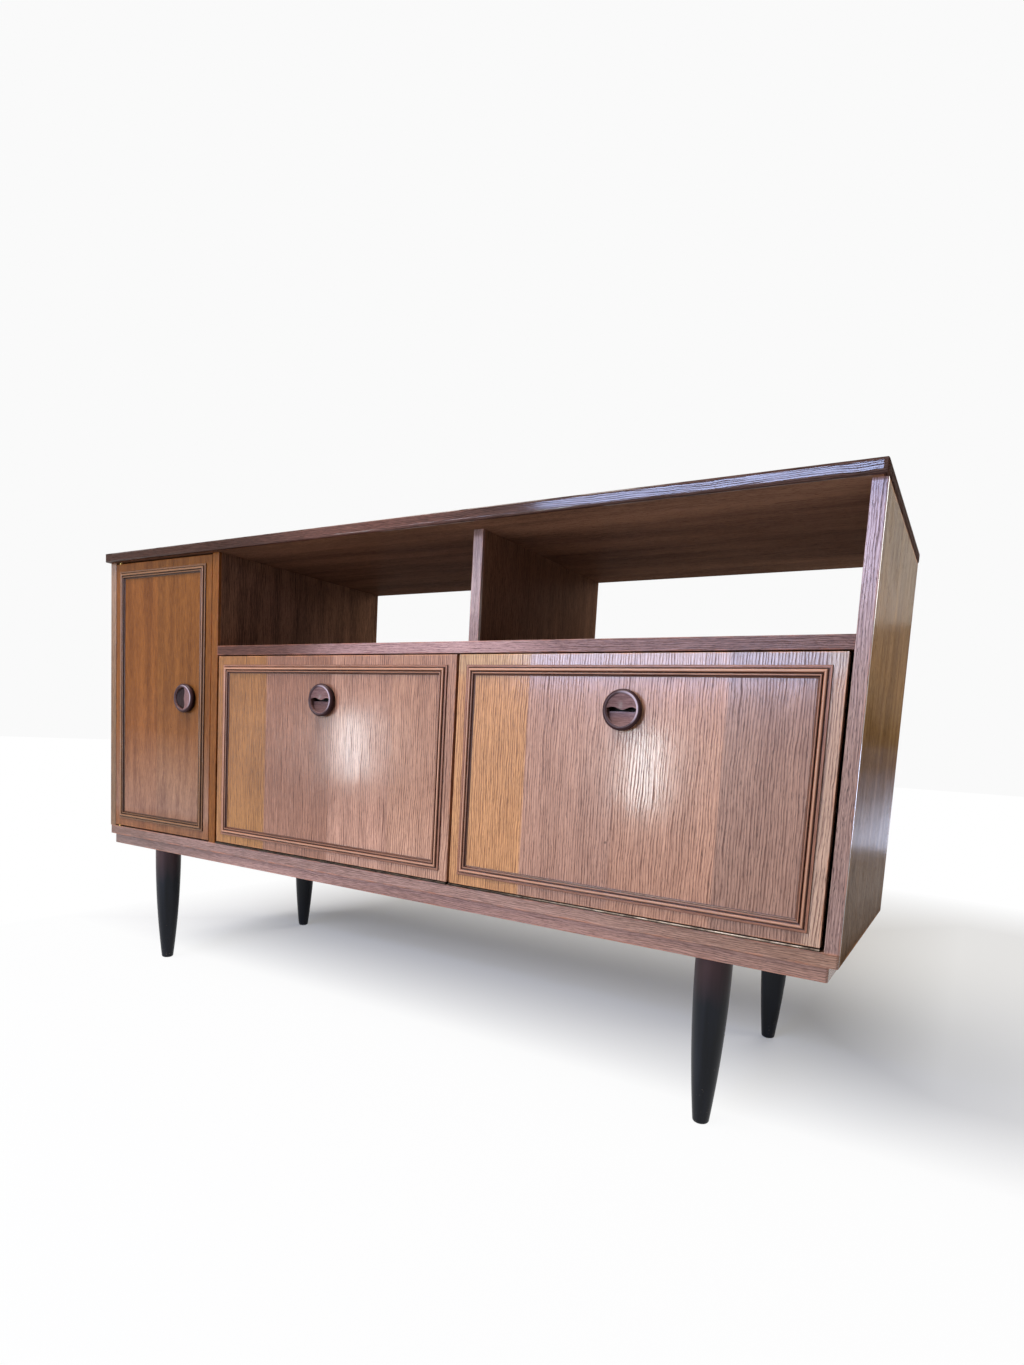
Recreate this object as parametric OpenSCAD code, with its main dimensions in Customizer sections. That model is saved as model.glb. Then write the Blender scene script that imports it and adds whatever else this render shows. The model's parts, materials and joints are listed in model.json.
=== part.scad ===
// Low cabinet on four turned legs: one hinged door, two drop flaps and two open bays.
// X runs to the right, Y to the back and Z up. The origin is on the floor, in the middle.

/* [Carcase] */
// Width over the two sides
body_w = 1500; // [1300:10:1700]
// Depth of the carcase without the overhang of the top
body_d = 450; // [420:5:500]
// Thickness of sides, dividers, shelf and bottom
panel_t = 18; // [16:1:22]
// Clear height behind the flaps
lower_h = 364; // [340:2:420]
// Clear height of the open bays
upper_h = 175; // [140:5:240]
// Clear width of the cupboard behind the door
cupboard_w = 312; // [260:2:380]
// Clear width of the left open bay
left_bay_w = 562; // [500:2:620]
// How far the divider between the open bays stands back from the front
divider_setback = 32; // [0:2:60]
// Depth of the solid strip on each front edge
lipping_t = 6; // [4:0.5:8]
// How deep one board is housed in another
housing_d = 6; // [3:0.5:7]
// Thickness of the two back boards
back_t = 5; // [4:0.5:8]
// Depth of the rebate that holds a back board
rebate_d = 6; // [4:0.5:7]

/* [Top] */
// Thickness of the top
top_t = 18; // [16:1:24]
// Overhang of the top in front of the carcase
top_over_front = 14; // [13:1:30]
// Overhang of the top past each side
top_over_end = 1; // [0:0.5:6]
// Radius along the edges of the top
top_edge_r = 4; // [2:0.5:7]
// Radius of the front corners of the top, seen from above
top_corner_r = 6; // [3:0.5:10]

/* [Plinth and legs] */
// Height of the plinth rails
plinth_h = 20; // [16:1:30]
// Width of the plinth rails
plinth_rail_w = 65; // [60:1:90]
// How far the plinth stands in at each end
plinth_in_end = 11; // [4:1:30]
// How far the plinth stands back from the front
plinth_in_front = 4; // [2:1:6]
// Radius of the front corners of the plinth and of the bottom lipping
end_r = 4; // [2:0.5:5.5]
// Height of a leg
leg_h = 235; // [180:5:300]
// Diameter of a leg at its top
leg_top_d = 50; // [40:1:54]
// Diameter of a leg at its tip
leg_tip_d = 22; // [16:1:30]
// Radius of the rounded tip
leg_tip_r = 3.5; // [1:0.5:5]
// Distance from the end of the carcase to a leg's axis
leg_in_end = 159; // [120:1:220]
// Distance from the front of the carcase to a front leg's axis
leg_in_front = 31.5; // [31:0.5:36]
// Distance from the back of the carcase to a back leg's axis
leg_in_back = 27.5; // [27:0.5:36]
// Diameter of the bolt between a leg and the plinth
leg_bolt_d = 8; // [6:1:10]
// Length of the bolt inside the leg
leg_bolt_l = 38; // [25:1:60]
// Outer diameter of the threaded insert in the plinth
insert_d = 12; // [11:0.5:16]

/* [Door and flaps] */
// Thickness of the door and of the flaps
front_t = 18; // [16:1:20]
// Gap at each side of the door
door_gap = 1.5; // [1.5:0.1:3]
// Gap above and below the door
door_gap_z = 3; // [2.5:0.5:4]
// Gap beside and between the flaps
flap_gap = 5; // [3:0.5:6]
// Gap above a flap
flap_gap_top = 2; // [1:0.5:4]
// Distance from the edge of a front to its moulding
moulding_in = 16; // [12:1:40]
// Width of a moulding strip
moulding_w = 16; // [15:0.5:20]
// Height of the moulding's main bead over the board
moulding_h = 5; // [4:0.5:6]
// Open gap in each mitre
mitre_gap = 0.1; // [0.1:0.05:0.3]

/* [Pulls] */
// Diameter of a pull
pull_d = 57; // [50:1:64]
// Height of a pull over the board
pull_h = 12; // [10:0.5:12.5]
// Width of the rounded rim
pull_rim_w = 7; // [5:0.5:8]
// Depth of the spigot in the board
pull_spigot_h = 9; // [7:0.5:12]
// Diameter of the spigot
pull_spigot_d = 46; // [46:0.5:49]
// Depth of the dish in the middle of the pull
pull_dish = 3; // [2:0.5:3]
// Thickness of the lip over the finger recess
pull_lip_t = 3; // [2:0.5:4]
// Wood left under the finger recess
pull_floor_t = 3.5; // [2:0.5:5]
// How far the finger recess reaches under the lip
pull_undercut = 9; // [5:0.5:12]
// Distance from the top of a flap to the middle of its pull
flap_pull_drop = 77; // [70:1:120]
// Distance from the free edge of the door to the middle of its pull
door_pull_in = 70; // [66:1:100]
// Height of the door's pull over the inside of the bottom
door_pull_z = 280; // [180:5:400]

/* [Hinges and catches] */
// Diameter of a piano hinge's knuckle
knuckle_d = 4; // [3.6:0.1:5]
// Clearance between a knuckle and the boards beside it
knuckle_gap = 0.3; // [0.2:0.05:0.6]
// Thickness of a hinge leaf
leaf_t = 1; // [0.8:0.1:1.2]
// Width of a hinge leaf from its axis
leaf_w = 16; // [14:1:18]
// Length of one knuckle, about
knuckle_l = 25; // [20:1:40]
// Diameter of a piano hinge's pin
hinge_pin_d = 1.8; // [1.6:0.1:2.2]
// Radial clearance of every pin in its bore
pin_gap = 0.05; // [0.03:0.01:0.1]
// Number of screws in a hinge leaf
leaf_screw_n = 5; // [3:1:8]
// Diameter of the screws
screw_d = 3; // [2.5:0.1:3.5]
// Length of the screws
screw_l = 13; // [10:1:14]
// Distance from the door's hinged edge to its pivot
pivot_in = 10; // [9:0.5:14]
// Distance from the face of the door to its pivot
pivot_back = 4.5; // [4.5:0.1:5]
// Diameter of the door's pivot pins
pivot_pin_d = 5; // [4:0.5:5.5]
// Thickness of the door's pivot plates
pivot_plate_t = 3; // [2:0.5:4]
// Length of the door's pivot plates
pivot_plate_l = 42; // [30:1:60]
// Width of the door's pivot plates
pivot_plate_w = 7; // [6.5:0.1:8]
// Length of a catch
catch_l = 44; // [36:1:60]
// Depth of a catch
catch_d = 16; // [12:1:20]
// Height of a catch
catch_h = 13; // [10:1:16]
// Thickness of a strike plate
strike_t = 1; // [0.8:0.1:2]
// Gap between a catch and its strike plate
catch_gap = 0.3; // [0.2:0.05:0.6]

/* [Flap stays] */
// Height of a stay's pivot over the hinge
stay_pivot_z = 170; // [140:5:190]
// Distance from the inside of a flap to its stay's pivot
stay_pivot_out = 12; // [11:0.5:16]
// Direction from the hinge to the stay's guide
stay_guide_angle = 45; // [42:1:50]
// Height of the stay's bar
stay_bar_h = 10; // [8:0.5:12]
// Thickness of the stay's bar
stay_bar_t = 2.4; // [1.6:0.1:3]
// Clearance of the bar in its guide, on each side
stay_gap = 0.3; // [0.2:0.05:0.5]
// Length and height of a guide
stay_guide_l = 18; // [16:1:22]
// Radius of the ends of a bar
stay_end_r = 7; // [6.5:0.1:7.5]
// Diameter of a stay's pivot
stay_pin_d = 5; // [4:0.5:6]
// Thickness of the stay's plates
stay_plate_t = 2; // [1.5:0.5:3]

/* [Inside the cupboard] */
// Height of the shelf over the inside of the bottom
cupboard_shelf_up = 290; // [200:5:330]
// Thickness of the shelf
cupboard_shelf_t = 16; // [12:1:20]
// Clearance round the shelf
cupboard_shelf_gap = 1; // [0.5:0.5:3]
// Distance from the back of the door to the shelf
cupboard_shelf_in = 8; // [6:1:60]
// Diameter of a shelf pin
shelf_pin_d = 5; // [4:0.5:7]
// Length of a shelf pin inside and outside of the wood
shelf_pin_l = 8; // [6:0.5:10]
// Distance from the edges of the shelf to its pins
shelf_pin_in = 45; // [30:5:80]

/* [Hidden] */
$fn = 64;
// How far a flap opens, in degrees
hinge_open = 90;
// How far a cut reaches past the surface that it opens
hidden_cut = 1;
// How far the parts of one piece reach into each other
sink = 0.01;
// Number of steps in a drawn curve
curve_steps = 20;

// Colours
veneer = [0.60, 0.43, 0.30];
veneer_dark = [0.36, 0.25, 0.18];
lipping_tone = [0.52, 0.37, 0.30];
turned_wood = [0.24, 0.15, 0.11];
black_lacquer = [0.09, 0.07, 0.07];
bright_metal = [0.76, 0.73, 0.66];
brass = [0.72, 0.58, 0.32];

// Places along X
left_x = -body_w / 2;
right_x = body_w / 2;
in_left_x = left_x + panel_t;
in_right_x = right_x - panel_t;
divider_x = in_left_x + cupboard_w;
flaps_x = divider_x + panel_t;
upper_divider_x = flaps_x + left_bay_w;
partition_x = (flaps_x + in_right_x - panel_t) / 2;

// Places along Y
front_y = -(body_d + top_over_front) / 2 + top_over_front;
back_y = front_y + body_d;
inside_back_y = back_y - back_t;

// Places along Z
plinth_z = leg_h;
bottom_z = plinth_z + plinth_h;
floor_z = bottom_z + panel_t;
shelf_z = floor_z + lower_h;
bay_z = shelf_z + panel_t;
top_z = bay_z + upper_h;

// Fronts
hinge_gap = knuckle_d + 2 * knuckle_gap;
half_gap = hinge_gap / 2;
hinge_z = floor_z + half_gap;
flap_w = (in_right_x - flaps_x - 3 * flap_gap) / 2;
flap_z = floor_z + hinge_gap;
flap_h = shelf_z - flap_gap_top - flap_z;
left_flap_x = flaps_x + flap_gap;
right_flap_x = left_flap_x + flap_w + flap_gap;
door_x = in_left_x + door_gap;
door_w = cupboard_w - 2 * door_gap;
door_z = floor_z + door_gap_z;
door_h = top_z - door_gap_z - door_z;
pivot_x = door_x + pivot_in;
pivot_y = front_y + pivot_back;

// A stay's pivot and its guide lie on one circle round the hinge, so that the bar always
// points through the guide and turns by half the flap's angle
stay_boss_t = 3;
stay_stud_head_t = 1.3;
stay_stud_head_out = 1.5;
stay_wall_margin = 4;
stay_foot_w = 24;
stay_foot_out = 7;
stay_pivot_y = front_t + stay_pivot_out;
stay_r = norm([stay_pivot_y, stay_pivot_z]);
stay_pivot_angle = atan2(stay_pivot_z, stay_pivot_y);
stay_bar_angle = (stay_pivot_angle + stay_guide_angle) / 2 - 90;
stay_open_chord = 2 * stay_r * sin((stay_pivot_angle - stay_guide_angle + hinge_open) / 2);
stay_bar_l = stay_open_chord + stay_guide_l / 2 + stay_end_r + stay_gap;
stay_stud_head_r = stay_pin_d / 2 + stay_stud_head_out;
guide_u = stay_plate_t + stay_gap;
bar_u = guide_u + stay_boss_t + stay_stud_head_t + 3 * stay_gap;
bracket_u = bar_u + stay_bar_t + stay_gap;
guide_t = bracket_u + stay_plate_t - guide_u;

// Small sizes
knuckle_space = 0.3;
screw_head_k = 2;
pole_t = 2;
pole_out = catch_gap / 2;
pull_wall_t = 0.5;
pull_flare = 2;
pull_bowl_end = 4.3;
lip_wave_y = 2;
lip_wave_h = 1.5;
lip_wave_l = 14;
bead_x = 7.2;
small_bead_drop = 0.8;
quirk_w = 0.8;
cove_h = 0.8;
moulding_base_h = 1.6;
pivot_shoulder = 2;
pivot_pin_reach = 3;
pin_room = 0.5;
insert_flange_h = 2;
insert_flange_out = 3;

// A box between two corners
module slab(low, high) {
    translate(low) cube(high - low);
}

// A plan with its two front corners rounded, from x = 0 to w and from y = 0 to d
module round_front(w, d, r) {
    intersection() {
        square([w, d]);
        union() {
            translate([0, r]) square([w, d]);
            translate([r, 0]) square([w - 2 * r, d]);
            for (x = [r, w - r]) translate([x, r]) circle(r);
        }
    }
}

// The cross section of a long edge, rounded above and below at y = 0
module round_edge(d, h, r) {
    translate([r, 0]) square([d - r, h]);
    translate([0, r]) square([r, h - 2 * r]);
    for (z = [r, h - r]) translate([r, z]) circle(r);
}

// A countersunk screw whose head is flush with z = 0 and whose tip points down
module screw() {
    head_h = (screw_head_k - 1) * screw_d / 2;
    translate([0, 0, -head_h]) cylinder(h = head_h, d1 = screw_d, d2 = screw_head_k * screw_d);
    translate([0, 0, -screw_l]) cylinder(h = screw_l - head_h + sink, d = screw_d);
}

// Top

module top_shape() {
    w = body_w + 2 * top_over_end;
    d = body_d + top_over_front;
    translate([-w / 2, front_y - top_over_front, top_z]) intersection() {
        linear_extrude(top_t) round_front(w, d, top_corner_r);
        rotate([90, 0, 90]) linear_extrude(w) round_edge(d, top_t, top_edge_r);
        translate([0, d, 0]) rotate([90, 0, 0]) linear_extrude(d) union() {
            round_edge(w / 2 + hidden_cut, top_t, top_edge_r);
            translate([w, 0]) mirror([1, 0]) round_edge(w / 2 + hidden_cut, top_t, top_edge_r);
        }
    }
}

// The part of the top inside its lippings
module top_core_space() {
    slab([left_x - top_over_end + lipping_t, front_y - top_over_front + lipping_t, top_z - hidden_cut],
         [right_x + top_over_end - lipping_t, back_y + hidden_cut, top_z + top_t + hidden_cut]);
}

// The wedge of the top that its front lipping fills between the two mitres
module front_lipping_space() {
    w = body_w + 2 * top_over_end;
    translate([-w / 2, front_y - top_over_front, top_z - hidden_cut])
        linear_extrude(top_t + 2 * hidden_cut)
            polygon([[0, 0], [w, 0], [w - lipping_t, lipping_t], [lipping_t, lipping_t]]);
}

module top_panel() {
    color(veneer_dark) difference() {
        intersection() {
            top_shape();
            top_core_space();
        }
        left_divider_board();
        upper_divider_board();
        cupboard_back_board();
        pivot_plates();
    }
}

module top_front_lipping() {
    color(lipping_tone) intersection() {
        top_shape();
        front_lipping_space();
    }
}

module top_end_lippings() {
    color(lipping_tone) difference() {
        top_shape();
        top_core_space();
        front_lipping_space();
    }
}

// Upright boards

module left_side() {
    color(veneer) difference() {
        slab([left_x, front_y + lipping_t, bottom_z], [in_left_x, back_y, top_z]);
        bottom_board();
        cupboard_back_board();
        shelf_pins();
    }
}

module right_side() {
    color(veneer) difference() {
        slab([in_right_x, front_y + lipping_t, bottom_z], [right_x, back_y, top_z]);
        bottom_board();
        shelf_board();
        compartment_back_board();
    }
}

module side_lippings() {
    color(lipping_tone) for (x = [left_x, in_right_x])
        slab([x, front_y, floor_z], [x + panel_t, front_y + lipping_t, top_z]);
}

module left_divider_board() {
    slab([divider_x, front_y + lipping_t, floor_z - housing_d], [flaps_x, back_y, top_z + housing_d]);
}

module left_divider() {
    color(veneer_dark) difference() {
        left_divider_board();
        shelf_board();
        cupboard_back_board();
        compartment_back_board();
        shelf_pins();
    }
}

module left_divider_lipping() {
    color(lipping_tone)
        slab([divider_x, front_y, floor_z], [flaps_x, front_y + lipping_t, top_z]);
}

module upper_divider_board() {
    slab([upper_divider_x, front_y + divider_setback + lipping_t, bay_z - housing_d],
         [upper_divider_x + panel_t, back_y, top_z + housing_d]);
}

module upper_divider() {
    color(veneer_dark) upper_divider_board();
}

module upper_divider_lipping() {
    color(lipping_tone)
        slab([upper_divider_x, front_y + divider_setback, bay_z],
             [upper_divider_x + panel_t, front_y + divider_setback + lipping_t, top_z]);
}

module partition_board() {
    slab([partition_x, front_y + front_t + strike_t + stay_plate_t, floor_z - housing_d],
         [partition_x + panel_t, inside_back_y, shelf_z + housing_d]);
}

module lower_partition() {
    color(veneer_dark) partition_board();
}

// Level boards

module shelf_board() {
    slab([flaps_x - housing_d, front_y + lipping_t, shelf_z],
         [in_right_x + housing_d, back_y, bay_z]);
}

module middle_shelf() {
    color(veneer_dark) difference() {
        shelf_board();
        upper_divider_board();
        partition_board();
        compartment_back_board();
    }
}

module middle_shelf_lipping() {
    color(lipping_tone)
        slab([flaps_x, front_y, shelf_z], [in_right_x, front_y + lipping_t, bay_z]);
}

module bottom_board() {
    slab([in_left_x - housing_d, front_y + lipping_t, bottom_z],
         [in_right_x + housing_d, back_y, floor_z]);
}

module bottom_panel() {
    color(veneer_dark) difference() {
        bottom_board();
        left_divider_board();
        partition_board();
        cupboard_back_board();
        compartment_back_board();
        fixed_leaf_screws();
        pivot_plates();
    }
}

module bottom_lipping() {
    color(lipping_tone) difference() {
        translate([left_x, front_y, bottom_z])
            linear_extrude(panel_t) round_front(body_w, lipping_t, end_r);
        pivot_plates();
    }
}

// Back boards

module cupboard_back_board() {
    slab([in_left_x - rebate_d, inside_back_y, floor_z - rebate_d],
         [divider_x + rebate_d, back_y, top_z + rebate_d]);
}

module cupboard_back() {
    color(veneer_dark) cupboard_back_board();
}

module compartment_back_board() {
    slab([flaps_x - rebate_d, inside_back_y, floor_z - rebate_d],
         [in_right_x + rebate_d, back_y, shelf_z + rebate_d]);
}

module compartment_back() {
    color(veneer_dark) compartment_back_board();
}

// Plinth

plinth_l_x = left_x + plinth_in_end;
plinth_w = body_w - 2 * plinth_in_end;
plinth_y = front_y + plinth_in_front;

module plinth_front_rail() {
    color(lipping_tone) difference() {
        translate([plinth_l_x, plinth_y, plinth_z])
            linear_extrude(plinth_h) round_front(plinth_w, plinth_rail_w, end_r);
        leg_inserts();
        leg_bolts();
    }
}

module plinth_back_rail() {
    color(veneer_dark) difference() {
        slab([plinth_l_x, back_y - plinth_rail_w, plinth_z], [plinth_l_x + plinth_w, back_y, bottom_z]);
        leg_inserts();
        leg_bolts();
    }
}

module plinth_short_rail(x) {
    slab([x, plinth_y + plinth_rail_w, plinth_z],
         [x + plinth_rail_w, back_y - plinth_rail_w, bottom_z]);
}

module plinth_end_rails() {
    color(veneer_dark) for (x = [plinth_l_x, plinth_l_x + plinth_w - plinth_rail_w])
        plinth_short_rail(x);
}

module plinth_cross_rail() {
    color(veneer_dark) plinth_short_rail(-plinth_rail_w / 2);
}

// Legs

leg_left_x = left_x + leg_in_end;
leg_right_x = right_x - leg_in_end;
leg_front_y = front_y + leg_in_front;
leg_back_y = back_y - leg_in_back;

// Radius of a leg at a height: it swells like a parabola from the tip to the top
function leg_radius(z) =
    leg_top_d / 2 - (leg_top_d - leg_tip_d) / 2 * pow(1 - z / leg_h, 2);

module leg(x, y) {
    tip_points = [
        for (a = [0 : 15 : 90])
            [leg_radius(leg_tip_r) - leg_tip_r * (1 - sin(a)), leg_tip_r * (1 - cos(a))]
    ];
    side_points = [
        for (i = [1 : curve_steps])
            let (z = leg_tip_r + (leg_h - leg_tip_r) * i / curve_steps) [leg_radius(z), z]
    ];
    color(black_lacquer) translate([x, y, 0]) difference() {
        rotate_extrude() polygon(concat([[0, 0]], tip_points, side_points, [[0, leg_h]]));
        translate([0, 0, leg_h - leg_bolt_l]) cylinder(h = leg_bolt_l + hidden_cut, d = leg_bolt_d);
    }
}

module leg_front_left() { leg(leg_left_x, leg_front_y); }
module leg_front_right() { leg(leg_right_x, leg_front_y); }
module leg_back_left() { leg(leg_left_x, leg_back_y); }
module leg_back_right() { leg(leg_right_x, leg_back_y); }

module at_legs() {
    for (x = [leg_left_x, leg_right_x], y = [leg_front_y, leg_back_y])
        translate([x, y, leg_h]) children();
}

module leg_bolts() {
    color(bright_metal) at_legs() translate([0, 0, -leg_bolt_l])
        cylinder(h = leg_bolt_l + plinth_h - insert_flange_h, d = leg_bolt_d);
}

module leg_inserts() {
    color(bright_metal) at_legs() difference() {
        union() {
            cylinder(h = plinth_h, d = insert_d);
            translate([0, 0, plinth_h - insert_flange_h])
                cylinder(h = insert_flange_h, r = insert_d / 2 + insert_flange_out);
        }
        translate([0, 0, -hidden_cut])
            cylinder(h = plinth_h - insert_flange_h + hidden_cut, d = leg_bolt_d);
    }
}

// Cupboard shelf

module cupboard_shelf() {
    z = floor_z + cupboard_shelf_up;
    color(veneer_dark)
        slab([in_left_x + cupboard_shelf_gap, front_y + front_t + cupboard_shelf_in, z],
             [divider_x - cupboard_shelf_gap, inside_back_y - cupboard_shelf_gap,
              z + cupboard_shelf_t]);
}

module shelf_pins() {
    z = floor_z + cupboard_shelf_up - shelf_pin_d / 2;
    near_y = front_y + front_t + cupboard_shelf_in + shelf_pin_in;
    far_y = inside_back_y - cupboard_shelf_gap - shelf_pin_in;
    color(brass) for (x = [in_left_x, divider_x], y = [near_y, far_y])
        translate([x - shelf_pin_l, y, z]) rotate([0, 90, 0])
            cylinder(h = 2 * shelf_pin_l, d = shelf_pin_d);
}

// Piano hinges of the flaps

// Moves to the left end of a flap's hinge axis, or of both
module at_hinge(x) {
    translate([x, front_y, hinge_z]) children();
}

// Places along a hinge leaf where its screws go
function leaf_screw_x(i) = flap_w * (i + 0.5) / leaf_screw_n;

module leaf_screws(side) {
    for (i = [0 : leaf_screw_n - 1])
        translate([leaf_screw_x(i), (leaf_w + knuckle_d / 2) / 2, side * (half_gap - leaf_t)])
            rotate([side > 0 ? 180 : 0, 0, 0]) screw();
}

// One leaf with every other knuckle: side 1 lies against the flap, side -1 on the bottom
module hinge_leaf(side) {
    count = 2 * floor(flap_w / knuckle_l / 2) + 1;
    pitch = flap_w / count;
    plate_y = knuckle_d / 2 + knuckle_gap;
    plate_z = side > 0 ? half_gap - leaf_t : -half_gap;
    own_l = pitch - knuckle_space;
    color(bright_metal) difference() {
        union() {
            translate([0, plate_y, plate_z]) cube([flap_w, leaf_w - plate_y, leaf_t]);
            for (i = [side > 0 ? 1 : 0 : 2 : count - 1])
                translate([i * pitch + knuckle_space / 2, 0, 0]) {
                    rotate([0, 90, 0]) cylinder(h = own_l, d = knuckle_d);
                    translate([0, 0, plate_z]) cube([own_l, plate_y + sink, leaf_t]);
                }
        }
        translate([-hidden_cut, 0, 0]) rotate([0, 90, 0])
            cylinder(h = flap_w + 2 * hidden_cut, r = hinge_pin_d / 2 + pin_gap);
        leaf_screws(side);
    }
}

module left_flap_fixed_leaf() { at_hinge(left_flap_x) hinge_leaf(-1); }
module right_flap_fixed_leaf() { at_hinge(right_flap_x) hinge_leaf(-1); }
module left_flap_moving_leaf() { at_hinge(left_flap_x) hinge_leaf(1); }
module right_flap_moving_leaf() { at_hinge(right_flap_x) hinge_leaf(1); }

module flap_hinge_pins() {
    color(bright_metal) for (x = [left_flap_x, right_flap_x])
        at_hinge(x) rotate([0, 90, 0]) cylinder(h = flap_w, d = hinge_pin_d);
}

module fixed_leaf_screws() {
    color(bright_metal) for (x = [left_flap_x, right_flap_x])
        at_hinge(x) leaf_screws(-1);
}

// Flap stays, drawn with x growing from the upright board into the compartment

module at_stay(left) {
    if (left) translate([flaps_x, front_y, hinge_z]) children();
    else translate([in_right_x, front_y, hinge_z]) mirror([1, 0, 0]) children();
}

module at_stay_guide() {
    translate([0, stay_r * cos(stay_guide_angle), stay_r * sin(stay_guide_angle)]) children();
}

module at_stay_pivot() {
    translate([0, stay_pivot_y, stay_pivot_z]) children();
}

module along_x(r, from, to) {
    translate([from, 0, 0]) rotate([0, 90, 0]) cylinder(h = to - from, r = r);
}

module stay_wall_plate() {
    half = stay_guide_l / 2 + stay_wall_margin;
    at_stay_guide() {
        translate([0, -half, -half]) cube([stay_plate_t, 2 * half, 2 * half]);
        along_x(stay_pin_d / 2, 0, guide_u + stay_boss_t + stay_gap + sink);
        along_x(stay_stud_head_r, guide_u + stay_boss_t + stay_gap,
                guide_u + stay_boss_t + stay_gap + stay_stud_head_t);
    }
}

module stay_wall_plates() {
    color(bright_metal) for (left = [true, false]) at_stay(left) stay_wall_plate();
}

module stay_guide(left) {
    half = stay_guide_l / 2;
    slot_h = stay_bar_h + 2 * stay_gap;
    slot_u = bar_u - stay_gap;
    slot_t = stay_bar_t + 2 * stay_gap;
    color(bright_metal) at_stay(left) at_stay_guide() rotate([stay_bar_angle, 0, 0]) difference() {
        translate([guide_u, -half, -half]) cube([guide_t, stay_guide_l, stay_guide_l]);
        translate([slot_u, -half - hidden_cut, -slot_h / 2])
            cube([slot_t, stay_guide_l + 2 * hidden_cut, slot_h]);
        along_x(stay_pin_d / 2 + pin_gap, 0, slot_u);
        along_x(stay_stud_head_r + stay_gap, guide_u + stay_boss_t, slot_u + sink);
    }
}

module left_stay_guide() { stay_guide(true); }
module right_stay_guide() { stay_guide(false); }

module stay_arm(left) {
    color(bright_metal) at_stay(left) at_stay_pivot() rotate([stay_bar_angle, 0, 0]) difference() {
        union() {
            translate([bar_u, 0, -stay_bar_h / 2]) cube([stay_bar_t, stay_bar_l, stay_bar_h]);
            along_x(stay_end_r, bar_u, bar_u + stay_bar_t);
            translate([0, stay_bar_l, 0]) along_x(stay_end_r, bar_u, bar_u + stay_bar_t);
        }
        along_x(stay_pin_d / 2 + pin_gap, 0, bar_u + stay_bar_t + hidden_cut);
    }
}

module left_stay_arm() { stay_arm(true); }
module right_stay_arm() { stay_arm(false); }

module stay_bracket(left) {
    foot_h = 2 * (stay_end_r + stay_foot_out);
    color(bright_metal) at_stay(left) at_stay_pivot() {
        translate([bracket_u, -stay_pivot_out, -foot_h / 2]) cube([stay_foot_w, stay_plate_t, foot_h]);
        translate([bracket_u, -stay_pivot_out, -stay_end_r])
            cube([stay_plate_t, stay_pivot_out, 2 * stay_end_r]);
        along_x(stay_end_r, bracket_u, bracket_u + stay_plate_t);
        along_x(stay_pin_d / 2, bar_u - stay_gap - sink, bracket_u + sink);
        along_x(stay_stud_head_r, bar_u - stay_gap - stay_stud_head_t, bar_u - stay_gap);
    }
}

module left_stay_bracket() { stay_bracket(true); }
module right_stay_bracket() { stay_bracket(false); }

// Catches and strike plates

// A catch with two steel poles towards -y, hanging under z = 0 and centred on x = 0
module catch_body() {
    translate([-catch_l / 2, 0, -catch_h]) cube([catch_l, catch_d, catch_h]);
    for (z = [-catch_h / 3, -2 * catch_h / 3])
        translate([-catch_l / 4, -pole_out, z - pole_t / 2])
            cube([catch_l / 2, catch_d / 2, pole_t]);
}

catch_y = front_y + front_t + strike_t + catch_gap + pole_out;
door_catch_z = shelf_z + catch_l;

module flap_catches() {
    color(bright_metal) for (x = [left_flap_x, right_flap_x])
        translate([x + flap_w / 2, catch_y, shelf_z]) catch_body();
}

module flap_strike(x) {
    color(bright_metal)
        translate([x + flap_w / 2 - catch_l / 2, front_y + front_t, shelf_z - catch_h])
            cube([catch_l, strike_t, catch_h - flap_gap_top]);
}

module left_flap_strike() { flap_strike(left_flap_x); }
module right_flap_strike() { flap_strike(right_flap_x); }

module door_catch() {
    color(bright_metal) translate([divider_x, catch_y, door_catch_z]) rotate([0, 90, 0]) catch_body();
}

module door_strike() {
    color(bright_metal)
        translate([divider_x - catch_h, front_y + front_t, door_catch_z - catch_l / 2])
            cube([catch_h - door_gap, strike_t, catch_l]);
}

// Pivots of the door

// A plate let into a board, with the pivot's axis near its left end
module pivot_plate() {
    translate([-pivot_plate_w / 2, -pivot_plate_w / 2, 0])
        cube([pivot_plate_l, pivot_plate_w, pivot_plate_t]);
}

module pivot_plates() {
    translate([pivot_x, pivot_y, floor_z - pivot_plate_t]) pivot_plate();
    translate([pivot_x, pivot_y, top_z]) pivot_plate();
}

module pivot_pin(h) {
    cylinder(h = door_gap_z - knuckle_gap, d = pivot_pin_d + pivot_shoulder);
    cylinder(h = h, d = pivot_pin_d);
}

module door_pivot_pins() {
    pin_h = door_gap_z + pivot_plate_t + pivot_pin_reach;
    color(brass) {
        pivot_plates();
        translate([pivot_x, pivot_y, floor_z]) pivot_pin(pin_h);
        translate([pivot_x, pivot_y, top_z]) mirror([0, 0, 1]) pivot_pin(pin_h);
    }
}

module door_pivot_sockets() {
    color(brass) difference() {
        for (z = [door_z, door_z + door_h - pivot_plate_t])
            translate([pivot_x, pivot_y, z]) pivot_plate();
        translate([pivot_x, pivot_y, door_z - hidden_cut])
            cylinder(h = door_h + 2 * hidden_cut, r = pivot_pin_d / 2 + pin_gap);
    }
}

// The space that the sockets and the pins' ends take up in the door
module door_pivot_space() {
    room = pivot_plate_t + pivot_pin_reach + hidden_cut;
    for (z = [door_z, door_z + door_h - pivot_plate_t])
        translate([pivot_x, pivot_y, z]) pivot_plate();
    for (z = [door_z, door_z + door_h - room])
        translate([pivot_x, pivot_y, z]) cylinder(h = room, d = pivot_pin_d + 2 * pin_room);
}

// Fronts are drawn lying down: x to the right, y up and z out of the face

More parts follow.
